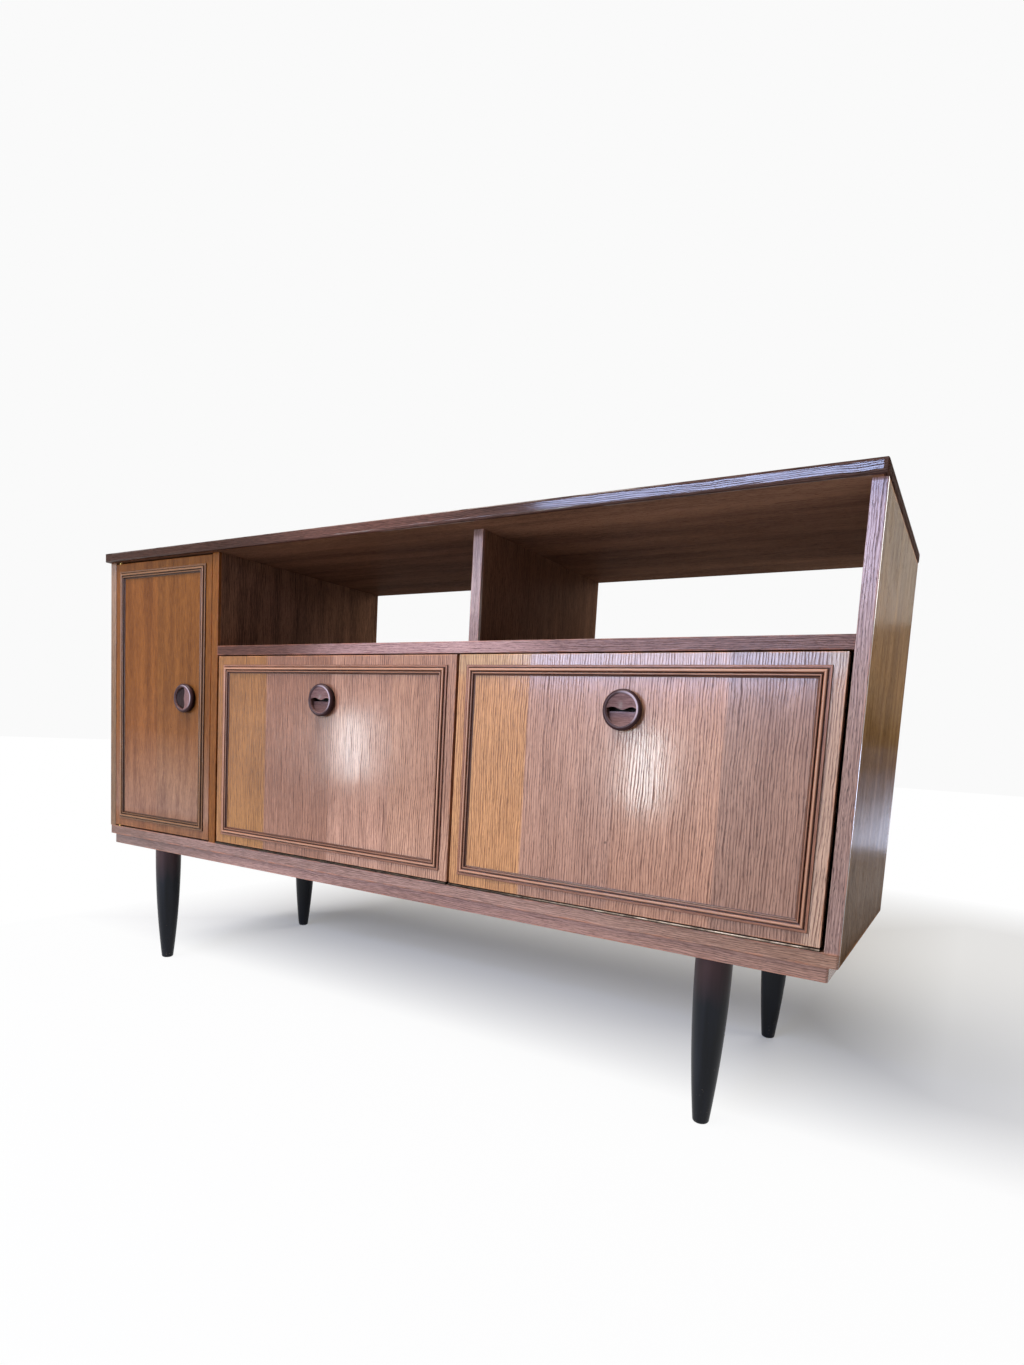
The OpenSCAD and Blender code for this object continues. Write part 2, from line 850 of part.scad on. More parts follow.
module on_front(x, z) {
    translate([x, front_y, z]) rotate([90, 0, 0]) children();
}

module front_board(w, h) {
    translate([0, 0, -front_t]) cube([w, h, front_t]);
}

// Cross section of the moulding from its outer edge, x = 0, to its inner edge
module moulding_profile() {
    bead_r = moulding_h / 2;
    small_r = moulding_h / 3;
    small_x = bead_x + bead_r + quirk_w + small_r;
    square([moulding_w, moulding_base_h]);
    square([bead_x - bead_r - quirk_w, moulding_base_h + cove_h]);
    translate([bead_x, moulding_h - bead_r]) circle(bead_r);
    translate([bead_x - bead_r, 0]) square([2 * bead_r, moulding_h - bead_r]);
    translate([small_x, moulding_h - small_bead_drop - small_r]) circle(small_r);
    translate([small_x - small_r, 0]) square([2 * small_r, small_r]);
}

// One strip along x with its outer edge at y = 0 and a mitre at each end
module moulding_strip(l) {
    m = mitre_gap / 2;
    intersection() {
        rotate([90, 0, 90]) linear_extrude(l) moulding_profile();
        linear_extrude(moulding_h + hidden_cut)
            polygon([[m, 0], [l - m, 0], [l - moulding_w - m, moulding_w], [moulding_w + m, moulding_w]]);
    }
}

// Four mitred strips round a front
module moulding(w, h) {
    in_w = w - 2 * moulding_in;
    in_h = h - 2 * moulding_in;
    color(turned_wood) translate([moulding_in, moulding_in, 0]) {
        moulding_strip(in_w);
        translate([in_w, 0, 0]) rotate([0, 0, 90]) moulding_strip(in_h);
        translate([in_w, in_h, 0]) rotate([0, 0, 180]) moulding_strip(in_w);
        translate([0, in_h, 0]) rotate([0, 0, 270]) moulding_strip(in_h);
    }
}

// Pulls

pull_rim_r = pull_rim_w / 2;
pull_inner_r = pull_d / 2 - pull_rim_w;
pull_face_h = pull_h - pull_rim_r;
pull_recess_floor = pull_floor_t - pull_spigot_h;
pull_lip_under = pull_face_h - pull_dish / 2 - pull_lip_t;

// A turned disc with a dished face, a half-round rim and a spigot, drawn from its axis outwards
module pull_blank() {
    dish_points = [
        for (i = [0 : curve_steps])
            let (r = pull_inner_r * i / curve_steps)
            [r, pull_face_h - pull_dish / 2 * (1 - pow(r / pull_inner_r, 2))]
    ];
    rim_points = [
        for (a = [15 : 15 : 180])
            [pull_inner_r + pull_rim_r * (1 - cos(a)), pull_face_h + pull_rim_r * sin(a)]
    ];
    base_points = [
        [pull_d / 2 - pull_flare, 0],
        [pull_spigot_d / 2, 0],
        [pull_spigot_d / 2, -pull_spigot_h],
        [0, -pull_spigot_h]
    ];
    rotate_extrude() polygon(concat(dish_points, rim_points, base_points));
}

// The wavy lower edge of the lip over the recess
function lip_edge(x) = lip_wave_y - lip_wave_h * cos(180 * x / lip_wave_l);

module pull_lip() {
    edge = [
        for (i = [-curve_steps : curve_steps])
            let (x = pull_d / 2 * i / curve_steps) [x, lip_edge(x)]
    ];
    translate([0, 0, pull_lip_under]) linear_extrude(pull_h)
        polygon(concat(edge, [[pull_d / 2, pull_d / 2], [-pull_d / 2, pull_d / 2]]));
}

// A bowl below the lip that runs on under it
module pull_recess() {
    bowl_w = pull_inner_r - pull_bowl_end;
    bowl_h = pull_face_h - pull_recess_floor;
    bowl_points = [
        for (a = [0 : 10 : 90])
            [bowl_w - pull_inner_r - bowl_w * cos(a), pull_face_h - bowl_h * sin(a)]
    ];
    side = concat(bowl_points,
        [[pull_undercut, pull_recess_floor], [pull_undercut, 2 * pull_h], [-pull_inner_r, 2 * pull_h]]);
    difference() {
        intersection() {
            translate([0, 0, -pull_spigot_h]) cylinder(h = 3 * pull_h, r = pull_inner_r - pull_wall_t);
            rotate([90, 0, 90]) translate([0, 0, -pull_d / 2]) linear_extrude(pull_d) polygon(side);
        }
        pull_lip();
    }
}

module pull() {
    color(turned_wood) difference() {
        pull_blank();
        pull_recess();
    }
}

module pull_hole() {
    translate([0, 0, -pull_spigot_h]) cylinder(h = pull_spigot_h + hidden_cut, d = pull_spigot_d);
}

// Door

module at_door_pull() {
    on_front(door_x + door_w - door_pull_in, floor_z + door_pull_z)
        rotate([0, 0, -90]) children();
}

module left_door() {
    color(veneer) difference() {
        on_front(door_x, door_z) front_board(door_w, door_h);
        at_door_pull() pull_hole();
        door_pivot_space();
    }
}

module door_moulding() { on_front(door_x, door_z) moulding(door_w, door_h); }
module door_pull() { at_door_pull() pull(); }

// Flaps

module at_flap_pull(x) {
    on_front(x + flap_w / 2, flap_z + flap_h - flap_pull_drop) children();
}

module flap(x) {
    color(veneer) difference() {
        on_front(x, flap_z) front_board(flap_w, flap_h);
        at_flap_pull(x) pull_hole();
        at_hinge(x) leaf_screws(1);
    }
}

module left_flap() { flap(left_flap_x); }
module right_flap() { flap(right_flap_x); }
module left_flap_moulding() { on_front(left_flap_x, flap_z) moulding(flap_w, flap_h); }
module right_flap_moulding() { on_front(right_flap_x, flap_z) moulding(flap_w, flap_h); }
module left_flap_pull() { at_flap_pull(left_flap_x) pull(); }
module right_flap_pull() { at_flap_pull(right_flap_x) pull(); }
module left_flap_screws() { color(bright_metal) at_hinge(left_flap_x) leaf_screws(1); }
module right_flap_screws() { color(bright_metal) at_hinge(right_flap_x) leaf_screws(1); }

top_panel();
top_front_lipping();
top_end_lippings();
left_side();
right_side();
side_lippings();
left_divider();
left_divider_lipping();
upper_divider();
upper_divider_lipping();
middle_shelf();
middle_shelf_lipping();
lower_partition();
bottom_panel();
bottom_lipping();
plinth_front_rail();
plinth_back_rail();
plinth_end_rails();
plinth_cross_rail();
cupboard_back();
compartment_back();
cupboard_shelf();
shelf_pins();
leg_front_left();
leg_front_right();
leg_back_left();
leg_back_right();
leg_bolts();
leg_inserts();
left_flap_fixed_leaf();
right_flap_fixed_leaf();
flap_hinge_pins();
fixed_leaf_screws();
flap_catches();
door_catch();
stay_wall_plates();
door_pivot_pins();
left_door();
door_moulding();
door_pull();
door_pivot_sockets();
door_strike();
left_flap();
left_flap_moulding();
left_flap_pull();
left_flap_moving_leaf();
left_flap_screws();
left_flap_strike();
left_stay_bracket();
right_flap();
right_flap_moulding();
right_flap_pull();
right_flap_moving_leaf();
right_flap_screws();
right_flap_strike();
right_stay_bracket();
left_stay_arm();
right_stay_arm();
left_stay_guide();
right_stay_guide();
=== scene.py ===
"""Finish and fine shapes of a low oak cabinet on turned legs: one door, two drop flaps, two open bays."""
import json
import math
from functools import partialmethod, reduce

import bmesh
import bpy
from mathutils import Matrix, Vector


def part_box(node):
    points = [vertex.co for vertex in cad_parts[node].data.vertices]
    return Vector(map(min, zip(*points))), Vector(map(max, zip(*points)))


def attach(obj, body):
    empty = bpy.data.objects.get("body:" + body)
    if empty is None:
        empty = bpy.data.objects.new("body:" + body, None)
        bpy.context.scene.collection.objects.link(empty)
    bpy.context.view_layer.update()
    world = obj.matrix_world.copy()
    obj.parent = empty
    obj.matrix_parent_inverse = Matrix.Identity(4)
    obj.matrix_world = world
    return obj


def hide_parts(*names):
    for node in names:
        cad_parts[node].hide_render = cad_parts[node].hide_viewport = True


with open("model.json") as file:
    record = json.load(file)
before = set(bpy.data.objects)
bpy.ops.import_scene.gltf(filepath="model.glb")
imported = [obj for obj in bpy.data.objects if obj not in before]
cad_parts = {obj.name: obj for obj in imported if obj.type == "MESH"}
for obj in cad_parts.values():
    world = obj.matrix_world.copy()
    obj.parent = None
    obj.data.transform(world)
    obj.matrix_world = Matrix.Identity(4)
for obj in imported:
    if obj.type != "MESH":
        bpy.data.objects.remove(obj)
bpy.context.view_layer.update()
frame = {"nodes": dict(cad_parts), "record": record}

RECORD = frame["record"]
BODY_OF = {node: body for body, nodes in RECORD["behaviour"]["bodies"].items() for node in nodes}
MM = 0.001


def tone(red, green, blue):
    """A colour given in the 0 to 255 steps of a screen, as the linear colour that a shader takes."""
    steps = [value / 255 for value in (red, green, blue)]
    return [s / 12.92 if s <= 0.04045 else ((s + 0.055) / 1.055) ** 2.4 for s in steps] + [1.0]


def in_scene(name, data):
    """A new object in the scene."""
    obj = bpy.data.objects.new(name, data)
    bpy.context.scene.collection.objects.link(obj)
    return obj


# Camera

PHOTO_W, PHOTO_H = 1024, 1365
FOCAL_PX = 771.6
CENTRE_PX = (514.73, 819.89)
CAMERA_AT = Vector((0.8745, -1.2047, 0.5111))
CAMERA_YAW, CAMERA_PITCH, CAMERA_ROLL = 30.927, -6.0215, 3.2803
SENSOR_MM = 36.0


def make_camera():
    """The camera at the place and angle that the picture was taken from."""
    yaw, pitch, roll = (math.radians(a) for a in (CAMERA_YAW, CAMERA_PITCH, CAMERA_ROLL))
    forward = Vector((-math.sin(yaw) * math.cos(pitch), math.cos(yaw) * math.cos(pitch), math.sin(pitch)))
    level_right = Vector((math.cos(yaw), math.sin(yaw), 0.0))
    level_up = level_right.cross(forward)
    right = math.cos(roll) * level_right + math.sin(roll) * level_up
    up = math.cos(roll) * level_up - math.sin(roll) * level_right
    data = bpy.data.cameras.new("camera")
    data.sensor_width = SENSOR_MM
    data.lens = FOCAL_PX / PHOTO_H * SENSOR_MM
    data.shift_x = (PHOTO_W / 2 - CENTRE_PX[0]) / PHOTO_H
    data.shift_y = (CENTRE_PX[1] - PHOTO_H / 2) / PHOTO_H
    camera = in_scene("camera", data)
    axes = Matrix((right, up, -forward)).transposed()
    camera.matrix_world = Matrix.Translation(CAMERA_AT) @ axes.to_4x4()
    bpy.context.scene.camera = camera


# Node trees

class Tree:
    """A node tree that grows by short calls, for shaders and for geometry."""

    def __init__(self, tree):
        self.tree = tree

    def feed(self, sockets, values):
        """Links or sets each of the named sockets."""
        for key, value in dict(values).items():
            if isinstance(value, bpy.types.NodeSocket):
                self.tree.links.new(value, sockets[key])
            else:
                sockets[key].default_value = value

    def add(self, kind, inputs=(), **settings):
        node = self.tree.nodes.new(kind)
        for name, value in settings.items():
            setattr(node, name, value)
        self.feed(node.inputs, inputs)
        return node

    def get(self, kind, inputs=(), **settings):
        """The first output of a new node."""
        return self.add(kind, inputs, **settings).outputs[0]

    def calc(self, operation, a, b=0.0, c=0.0):
        return self.get("ShaderNodeMath", {0: a, 1: b, 2: c}, operation=operation)

    plus = partialmethod(calc, "ADD")
    minus = partialmethod(calc, "SUBTRACT")
    times = partialmethod(calc, "MULTIPLY")
    over = partialmethod(calc, "DIVIDE")
    least = partialmethod(calc, "MINIMUM")
    most = partialmethod(calc, "MAXIMUM")
    times_plus = partialmethod(calc, "MULTIPLY_ADD")

    def blend(self, share, a, b, kind="MIX"):
        node = self.add("ShaderNodeMix", {0: share, 6: a, 7: b}, data_type="RGBA", blend_type=kind)
        return node.outputs[2]

    def tinted(self, colour, tint):
        return self.blend(1.0, colour, tint, "MULTIPLY")

    def spread(self, value, low, high, to_low=0.0, to_high=1.0):
        """The value from low to high, stretched to a new range and held there."""
        return self.get("ShaderNodeMapRange", {0: value, 1: low, 2: high, 3: to_low, 4: to_high})

    def ramp(self, value, start, end, stops, kind="LINEAR"):
        """The tint at a value from start to end, between stops that are places with a colour or a grey."""
        node = self.add("ShaderNodeValToRGB", {"Fac": self.spread(value, start, end)})
        node.color_ramp.interpolation = kind
        elements = node.color_ramp.elements
        while len(elements) < len(stops):
            elements.new(1.0)
        for element, (place, tint) in zip(elements, stops):
            element.position = max(0.0, (place - start) / (end - start))
            element.color = (*tint, 1.0) if isinstance(tint, tuple) else (tint, tint, tint, 1.0)
        return node.outputs["Color"]

    def join(self, x, y, z):
        return self.get("ShaderNodeCombineXYZ", {0: x, 1: y, 2: z})

    def split(self, vector):
        return self.add("ShaderNodeSeparateXYZ", {0: vector}).outputs

    def stretched(self, vector, x, y, z):
        a, b, c = self.split(vector)
        return self.join(self.times(a, x), self.times(b, y), self.times(c, z))

    def noise(self, vector, scale=1.0, detail=2.0, rough=0.5):
        return self.get("ShaderNodeTexNoise", {"Vector": vector, "Scale": scale, "Detail": detail,
                                               "Roughness": rough})

    def cells(self, vector, scale=1.0):
        """How far a point is from the middle of its cell."""
        return self.add("ShaderNodeTexVoronoi", {"Vector": vector, "Scale": scale}).outputs["Distance"]

    def here(self):
        """The point on the object."""
        return self.add("ShaderNodeTexCoord").outputs["Object"]

    def point_value(self, name):
        """A number that the mesh holds at each point."""
        return self.add("ShaderNodeAttribute", attribute_name=name).outputs["Fac"]

    def seen_by(self, *rays):
        """1 for the named kinds of ray, such as Camera, and 0 for the others."""
        path = self.add("ShaderNodeLightPath")
        return reduce(self.most, [path.outputs["Is " + ray + " Ray"] for ray in rays])

    def dressed(self, geometry, material):
        """Real geometry with its material, the end of each geometry tree."""
        real = self.get("GeometryNodeRealizeInstances", {"Geometry": geometry})
        return self.get("GeometryNodeSetMaterial", {"Geometry": real, "Material": material})


SOCKETS = {"float": "NodeSocketFloat", "int": "NodeSocketInt", "vector": "NodeSocketVector",
           "colour": "NodeSocketColor", "material": "NodeSocketMaterial", "geometry": "NodeSocketGeometry"}


def new_group(name, kind, takes, gives):
    """A node group with named sockets, given as text. Returns its tree, its inputs and its outputs."""
    group = bpy.data.node_groups.new(name, kind)
    for listed, way in ((takes, "INPUT"), (gives, "OUTPUT")):
        for item in listed.split(", "):
            label, socket = item.split(": ")
            group.interface.new_socket(label, in_out=way, socket_type=SOCKETS[socket])
    tree = Tree(group)
    return tree, tree.add("NodeGroupInput").outputs, tree.add("NodeGroupOutput").inputs


# Wood. A wood's shift moves it to another part of the tree

SKEW, SHIFT_ACROSS, SHIFT_ALONG = 0.83, 3.17, 9.13
SWAY_SCALE, RIPPLE_SCALE, RIPPLE_SHARE = 2.6, 30.0, 0.36
STREAK_LENGTH, FIGURE_LENGTH, DASH_LENGTH = 16.0, 9.0, 9.0


def oak_grain_group():
    """Oak cut along the grain, which runs along Z of Vector: rings that show as dark lines, fine streaks,
    open pores that look like short dashes, and a broad figure."""
    t, given, out = new_group(
        "oak grain", "ShaderNodeTree",
        "Vector: vector, Shift: float, Light: colour, Dark: colour, Pore: colour, Ring Width: float, "
        "Rings: float, Streaks: float, Pores: float, Figure Width: float, Figure: float, Sway: float",
        "Color: colour, Height: float, Pore Mask: float")
    x, y, z = t.split(given["Vector"])
    shift = given["Shift"]
    across = t.times_plus(y, SKEW, t.times_plus(shift, SHIFT_ACROSS, x))
    deep = t.minus(y, t.times(x, SKEW))
    along = t.times_plus(shift, SHIFT_ALONG, z)
    slow = t.noise(t.join(across, deep, along), SWAY_SCALE, 1.0)
    quick = t.noise(t.join(across, deep, t.times(along, 0.7)), RIPPLE_SCALE, 2.0)
    sway = t.times(t.minus(slow, 0.5), given["Sway"])
    ripple = t.times(t.minus(quick, 0.5), given["Sway"])
    across = t.plus(across, t.times_plus(ripple, RIPPLE_SHARE, sway))

    def stretched(width, length):
        return t.join(t.over(across, width), t.over(deep, width),
                      t.over(along, t.times(width, length)))

    ring_w = given["Ring Width"]
    count = t.over(across, ring_w)
    uneven = t.noise(stretched(t.times(ring_w, 2.3), 14.0), 1.0, 1.0)
    count = t.times_plus(uneven, 1.5, count)
    phase = t.calc("FRACT", count)
    ring_no = t.calc("FLOOR", count)
    ring_share = t.noise(t.join(t.times(ring_no, 7.31), 0.0, t.times(along, 15.0)), 1.0, 1.0)
    ring = t.most(t.spread(phase, 0.0, 0.5, 1.0, 0.0), t.spread(phase, 0.92, 1.0))
    ring = t.times(ring, t.spread(ring_share, 0.3, 0.6, 0.35, 1.0))
    streak = t.noise(stretched(t.times(ring_w, 0.42), STREAK_LENGTH), 1.0, 2.0, 0.6)
    streak = t.spread(streak, 0.38, 0.62)
    figure = t.spread(t.noise(stretched(given["Figure Width"], FIGURE_LENGTH)), 0.32, 0.68)
    level = t.times_plus(t.minus(streak, 0.5), given["Streaks"], 0.68)
    level = t.times_plus(t.minus(figure, 0.5), given["Figure"], level)
    level = t.minus(level, t.times(ring, given["Rings"]))
    dash = t.cells(stretched(t.times(ring_w, 0.36), DASH_LENGTH))
    pore = t.spread(t.minus(t.spread(ring, 0.0, 1.0, 0.26, 0.46), dash), 0.0, 0.12)
    pore_share = t.times(pore, given["Pores"])
    wood = t.blend(level, given["Dark"], given["Light"])
    rise = t.times_plus(ring, -0.6, t.times(streak, 0.3))
    t.feed(out, {"Color": t.blend(pore_share, wood, given["Pore"]), "Height": t.times_plus(pore, -0.5, rise),
                 "Pore Mask": t.most(pore_share, t.times(ring, 0.8))})
    return t.tree


def edge_wear_group():
    """Where a board's varnish is rubbed thin: near its arrises, in patches. Low and High are its corners."""
    t, given, out = new_group(
        "edge wear", "ShaderNodeTree",
        "Vector: vector, Low: vector, High: vector, Width: float, Patch Size: float, Amount: float",
        "Mask: float")
    low, high, here = (t.split(given[name]) for name in ("Low", "High", "Vector"))
    dx, dy, dz = (t.least(t.minus(here[i], low[i]), t.minus(high[i], here[i])) for i in range(3))
    second = t.least(t.most(dx, dy), dz)
    to_arris = t.most(t.least(dx, dy), second)
    near = t.minus(1.0, t.over(to_arris, given["Width"]))
    patch = t.noise(given["Vector"], t.over(1.0, given["Patch Size"]), 3.0, 0.6)
    worn = t.times(t.spread(near, 0.0, 0.8), t.spread(patch, 0.4, 0.62))
    t.feed(out, {"Mask": t.times(worn, given["Amount"])})
    return t.tree


def handling_group():
    """Slow changes of tone and gloss over a whole surface, with a few small dark marks."""
    t, given, out = new_group("handling", "ShaderNodeTree", "Vector: vector, Size: float, Marks: float",
                              "Cloud: float, Mark: float")
    cloud = t.noise(given["Vector"], t.over(1.0, given["Size"]), 3.0, 0.55)
    spot = t.minus(0.05, t.cells(given["Vector"], 17.0))
    chosen = t.spread(t.noise(given["Vector"], 11.0, 1.0), 0.52, 0.56)
    mark = t.times(t.spread(spot, 0.0, 0.03), chosen)
    t.feed(out, {"Cloud": t.spread(cloud, 0.3, 0.7), "Mark": t.times(mark, given["Marks"])})
    return t.tree


GRAIN = oak_grain_group()
WEAR = edge_wear_group()
HANDLING = handling_group()


def new_material(name, values):
    """A material with values set on its shader. Returns it, its tree and the shader's inputs."""
    material = bpy.data.materials.new(name)
    material.use_nodes = True
    t = Tree(material.node_tree)
    shader = material.node_tree.nodes["Principled BSDF"].inputs
    t.feed(shader, values)
    return material, t, shader


def bump(t, height, depth):
    """The normal of a relief of that depth, in mm."""
    return t.get("ShaderNodeBump", {"Height": height, "Strength": 1.0, "Distance": depth * MM})


TURN_TO_Z = {"x": (0.0, -math.pi / 2, 0.0), "y": (math.pi / 2, 0.0, 0.0), "z": (0.0, 0.0, 0.0)}

# Each palette: light wood, dark wood, pore
PINK_OAK = (tone(214, 159, 128), tone(124, 81, 63), tone(64, 39, 31))
AMBER_OAK = (tone(140, 86, 40), tone(93, 52, 24), tone(58, 33, 17))
LEFT_EDGE_OAK = (tone(140, 104, 74), tone(94, 66, 46), tone(60, 40, 28))
DARK_OAK = (tone(146, 106, 80), tone(86, 59, 45), tone(46, 30, 24))
TOP_OAK = (tone(94, 65, 54), tone(52, 35, 29), tone(30, 21, 18))
OLIVE_OAK = (tone(172, 138, 98), tone(118, 88, 58), tone(44, 32, 25))
ROSE_OAK = (tone(152, 112, 98), tone(94, 65, 57), tone(52, 36, 32))
RAIL_OAK = (tone(168, 126, 106), tone(108, 74, 60), tone(60, 39, 31))
EDGE_OAK = (tone(174, 141, 128), tone(114, 85, 77), tone(58, 42, 38))
BEAD_OAK = (tone(170, 114, 84), tone(112, 70, 52), tone(58, 34, 26))
DOOR_BEAD_OAK = (tone(138, 92, 56), tone(90, 57, 34), tone(52, 32, 21))
PULL_OAK = (tone(146, 110, 104), tone(80, 54, 51), tone(30, 19, 16))
WORN_WOOD = tone(214, 178, 150)
MARK_TONE = tone(44, 28, 22)



def lacquer(specular, coat, coat_rough):
    """Shader values of a lacquered surface."""
    return {"Specular IOR Level": specular, "Coat Weight": coat, "Coat Roughness": coat_rough}


SATIN = lacquer(0.2, 0.3, 0.14)
GLOSSY = lacquer(0.2, 0.4, 0.12)
LOW_SATIN = lacquer(0.05, 0.15, 0.2)
POLISHED = lacquer(0.0, 0.6, 0.1)
DULL = lacquer(0.0, 0.05, 0.4)
RUBBED = lacquer(0.0, 0.34, 0.22)

# Veneer: the seam between two leaves, how far the wood moves on from leaf to leaf, the size and the tone
# of what hands leave on it, its roughness where it is clean and where it is cloudy, and its relief in mm
LEAF_BLEND = 1.5 * MM
LEAF_SHIFT = 0.37
HAND_SIZE = 0.22
HAND_TONE = tone(196, 186, 190)
VENEER_ROUGH = (0.2, 0.28)
VENEER_RELIEF = 0.07


def oak_grain(t, vector, shift, palette, *, ring, rings, streaks, pores, figure_w, figure, sway):
    """The outputs of the grain group, with its widths given in mm."""
    light, dark, pore = palette
    return t.add("ShaderNodeGroup", {
        "Vector": vector, "Shift": shift, "Light": light, "Dark": dark, "Pore": pore,
        "Ring Width": ring * MM, "Rings": rings, "Streaks": streaks, "Pores": pores,
        "Figure Width": figure_w * MM, "Figure": figure, "Sway": sway * MM,
    }, node_tree=GRAIN).outputs


def oak(name, node, along, palette, *, shift, second=None, leaves=None, ring=3.0, rings=0.8, streaks=0.6,
        pores=0.6, figure=0.35, figure_w=38.0, sway=16.0, wear=0.35, wear_w=2.5, marks=0.0, fade=None,
        rubbed=None, varnish=SATIN):
    """Varnished oak on one CAD board. along is the axis of the grain. second is (axis, place, palette)
    for the wood past that place. leaves are (place along x, tint) of veneer leaves. fade is an axis with
    (place, tint) along it, tints of painted light: painted sheen, reflection and shade. rubbed is (height,
    share of the varnish that is left)."""
    material, t, shader = new_material(name, varnish)
    here = t.here()
    turned = t.get("ShaderNodeMapping", {"Vector": here, "Rotation": TURN_TO_Z[along]})
    low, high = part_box(node)
    x, y, z = t.split(here)
    on_axis = {"x": (x, low.x, high.x), "y": (y, low.y, high.y), "z": (z, low.z, high.z)}
    colours = palette
    if second:
        axis, place, other = second
        beyond = t.calc("GREATER_THAN", on_axis[axis][0], place)
        colours = [t.blend(beyond, a, b) for a, b in zip(palette, other)]
    leaf_shift = shift
    if leaves:
        numbers = [(place, i * LEAF_SHIFT % 1.0) for i, (place, _) in enumerate(leaves)]
        leaf_shift = t.plus(t.ramp(x, low.x, high.x, numbers, "CONSTANT"), shift)
        tints = [(low.x, leaves[0][1])]
        for (_, before), (place, after) in zip(leaves, leaves[1:]):
            tints += [(place - LEAF_BLEND, before), (place + LEAF_BLEND, after)]
    grain = oak_grain(t, turned, leaf_shift, colours, ring=ring, rings=rings, streaks=streaks, pores=pores,
                      figure_w=figure_w, figure=figure, sway=sway)
    colour = grain["Color"]
    if leaves:
        colour = t.tinted(colour, t.ramp(x, low.x, high.x, tints))
    hand = t.add("ShaderNodeGroup", {"Vector": here, "Size": HAND_SIZE, "Marks": marks},
                 node_tree=HANDLING).outputs
    cloud = hand["Cloud"]
    colour = t.blend(t.spread(cloud, 0.0, 1.0, 0.0, 0.22), colour, t.tinted(colour, HAND_TONE))
    # Painted light: tints along an axis paint sheen, reflection and shade into the wood's colour
    if fade:
        axis, stops = fade
        value, start, end = on_axis[axis]
        colour = t.tinted(colour, t.ramp(t.times_plus(cloud, 0.03, value), start, end, stops))
    if marks:
        colour = t.blend(hand["Mark"], colour, MARK_TONE)
    worn = t.add("ShaderNodeGroup", {
        "Vector": here, "Low": low, "High": high, "Width": wear_w * MM, "Patch Size": 10 * wear_w * MM,
        "Amount": wear}, node_tree=WEAR).outputs
    colour = t.blend(worn["Mask"], colour, t.blend(1.0, colours[0], WORN_WOOD, "OVERLAY"))
    pore_mask = grain["Pore Mask"]
    full = varnish["Coat Weight"]
    coat = t.spread(pore_mask, 0.05, 0.4, full, full * 0.05)
    if rubbed:
        coat = t.times(coat, t.ramp(t.times_plus(cloud, 0.02, z), low.z, high.z, rubbed))
    t.feed(shader, {
        "Base Color": colour, "Coat Weight": coat,
        "Roughness": t.times_plus(pore_mask, 0.2, t.spread(cloud, 0.0, 1.0, *VENEER_ROUGH)),
        "Normal": bump(t, grain["Height"], VENEER_RELIEF)})
    return material


# Meshes

MERGE = 1e-6
FLAT, SQUARE = 0.9999, 0.999
SMOOTH_UP_TO, PULL_SMOOTH_UP_TO = 32.0, 40.0


def piece(name, mesh, like, slot, material=None, replaces=True):
    """A finished piece that rides with the CAD node called like, and as a rule takes its place."""
    obj = in_scene(name, mesh)
    if material:
        mesh.materials.clear()
        mesh.materials.append(material)
    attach(obj, BODY_OF[like])
    if replaces:
        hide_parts(like)


def plain_mesh(bm, name):
    mesh = bpy.data.meshes.new(name)
    bm.to_mesh(mesh)
    bm.free()
    return mesh


def mesh_of(bm, name):
    """The bmesh as a mesh with outward faces. Its flat sides stay flat, and the rest is smooth but for
    sharp edges."""
    bmesh.ops.recalc_face_normals(bm, faces=bm.faces)
    mesh = plain_mesh(bm, name)
    mesh.set_sharp_from_angle(angle=math.radians(SMOOTH_UP_TO))
    for polygon in mesh.polygons:
        polygon.use_smooth = max(abs(a) for a in polygon.normal) < FLAT
    return mesh


def cad_solids(node):
    """The bmesh of a CAD node, with its corners joined up."""
    bm = bmesh.new()
    bm.from_mesh(frame["nodes"][node].data)
    bmesh.ops.remove_doubles(bm, verts=bm.verts, dist=MERGE)
    return bm


def islands(bm):
    """The separate solids of a bmesh, as lists of faces."""
    left = set(bm.faces)
    while left:
        todo = [left.pop()]
        found = []
        while todo:
            face = todo.pop()
            found.append(face)
            for edge in face.edges:
                for other in edge.link_faces:
                    if other in left:
                        left.remove(other)
                        todo.append(other)
        yield found


def open_edges(faces, planes, round_reach):
    """The arrises of one solid between two of the open planes, such as "x0" and "z1", or on from one
    round its vertical corners, within round_reach of the ends along x."""
    verts = {v for f in faces for v in f.verts}
    low = [min(v.co[i] for v in verts) for i in range(3)]
    high = [max(v.co[i] for v in verts) for i in range(3)]

    def side_of(face):
        for i, axis in enumerate("xyz"):
            if abs(face.normal[i]) > SQUARE:
                place = face.calc_center_median()[i]
                if abs(place - low[i]) < MERGE:
                    return axis + "0"
                if abs(place - high[i]) < MERGE:
                    return axis + "1"
                return "inner"
        x = face.calc_center_median().x
        return "round" if min(x - low[0], high[0] - x) < round_reach else "inner"

    kind = {f: side_of(f) for f in faces}
    found = []
    for edge in {e for f in faces for e in f.edges}:
        if len(edge.link_faces) != 2:
            continue
        kinds = {kind[f] for f in edge.link_faces}
        if kinds <= planes | {"round"} and kinds & planes and len(kinds) == 2:
            found.append(edge)
    return found


def eased_board(node, planes, ease, slot, material, round_reach=0.0):
    """The CAD board with its open arrises rounded off by ease, in mm. planes are the sides that no
    other board is glued to."""
    bm = cad_solids(node)
    bmesh.ops.dissolve_limit(bm, angle_limit=math.radians(1.0), verts=bm.verts, edges=bm.edges)
    bm.normal_update()
    open_sides = set(planes.split())
    edges = [e for faces in list(islands(bm)) for e in open_edges(faces, open_sides, round_reach)]
    if edges and ease:
        bmesh.ops.bevel(bm, geom=edges, offset=ease * MM, segments=3, profile=0.5, affect="EDGES",
                        clamp_overlap=True)
    piece(node + "_board", mesh_of(bm, node), node, slot, material)


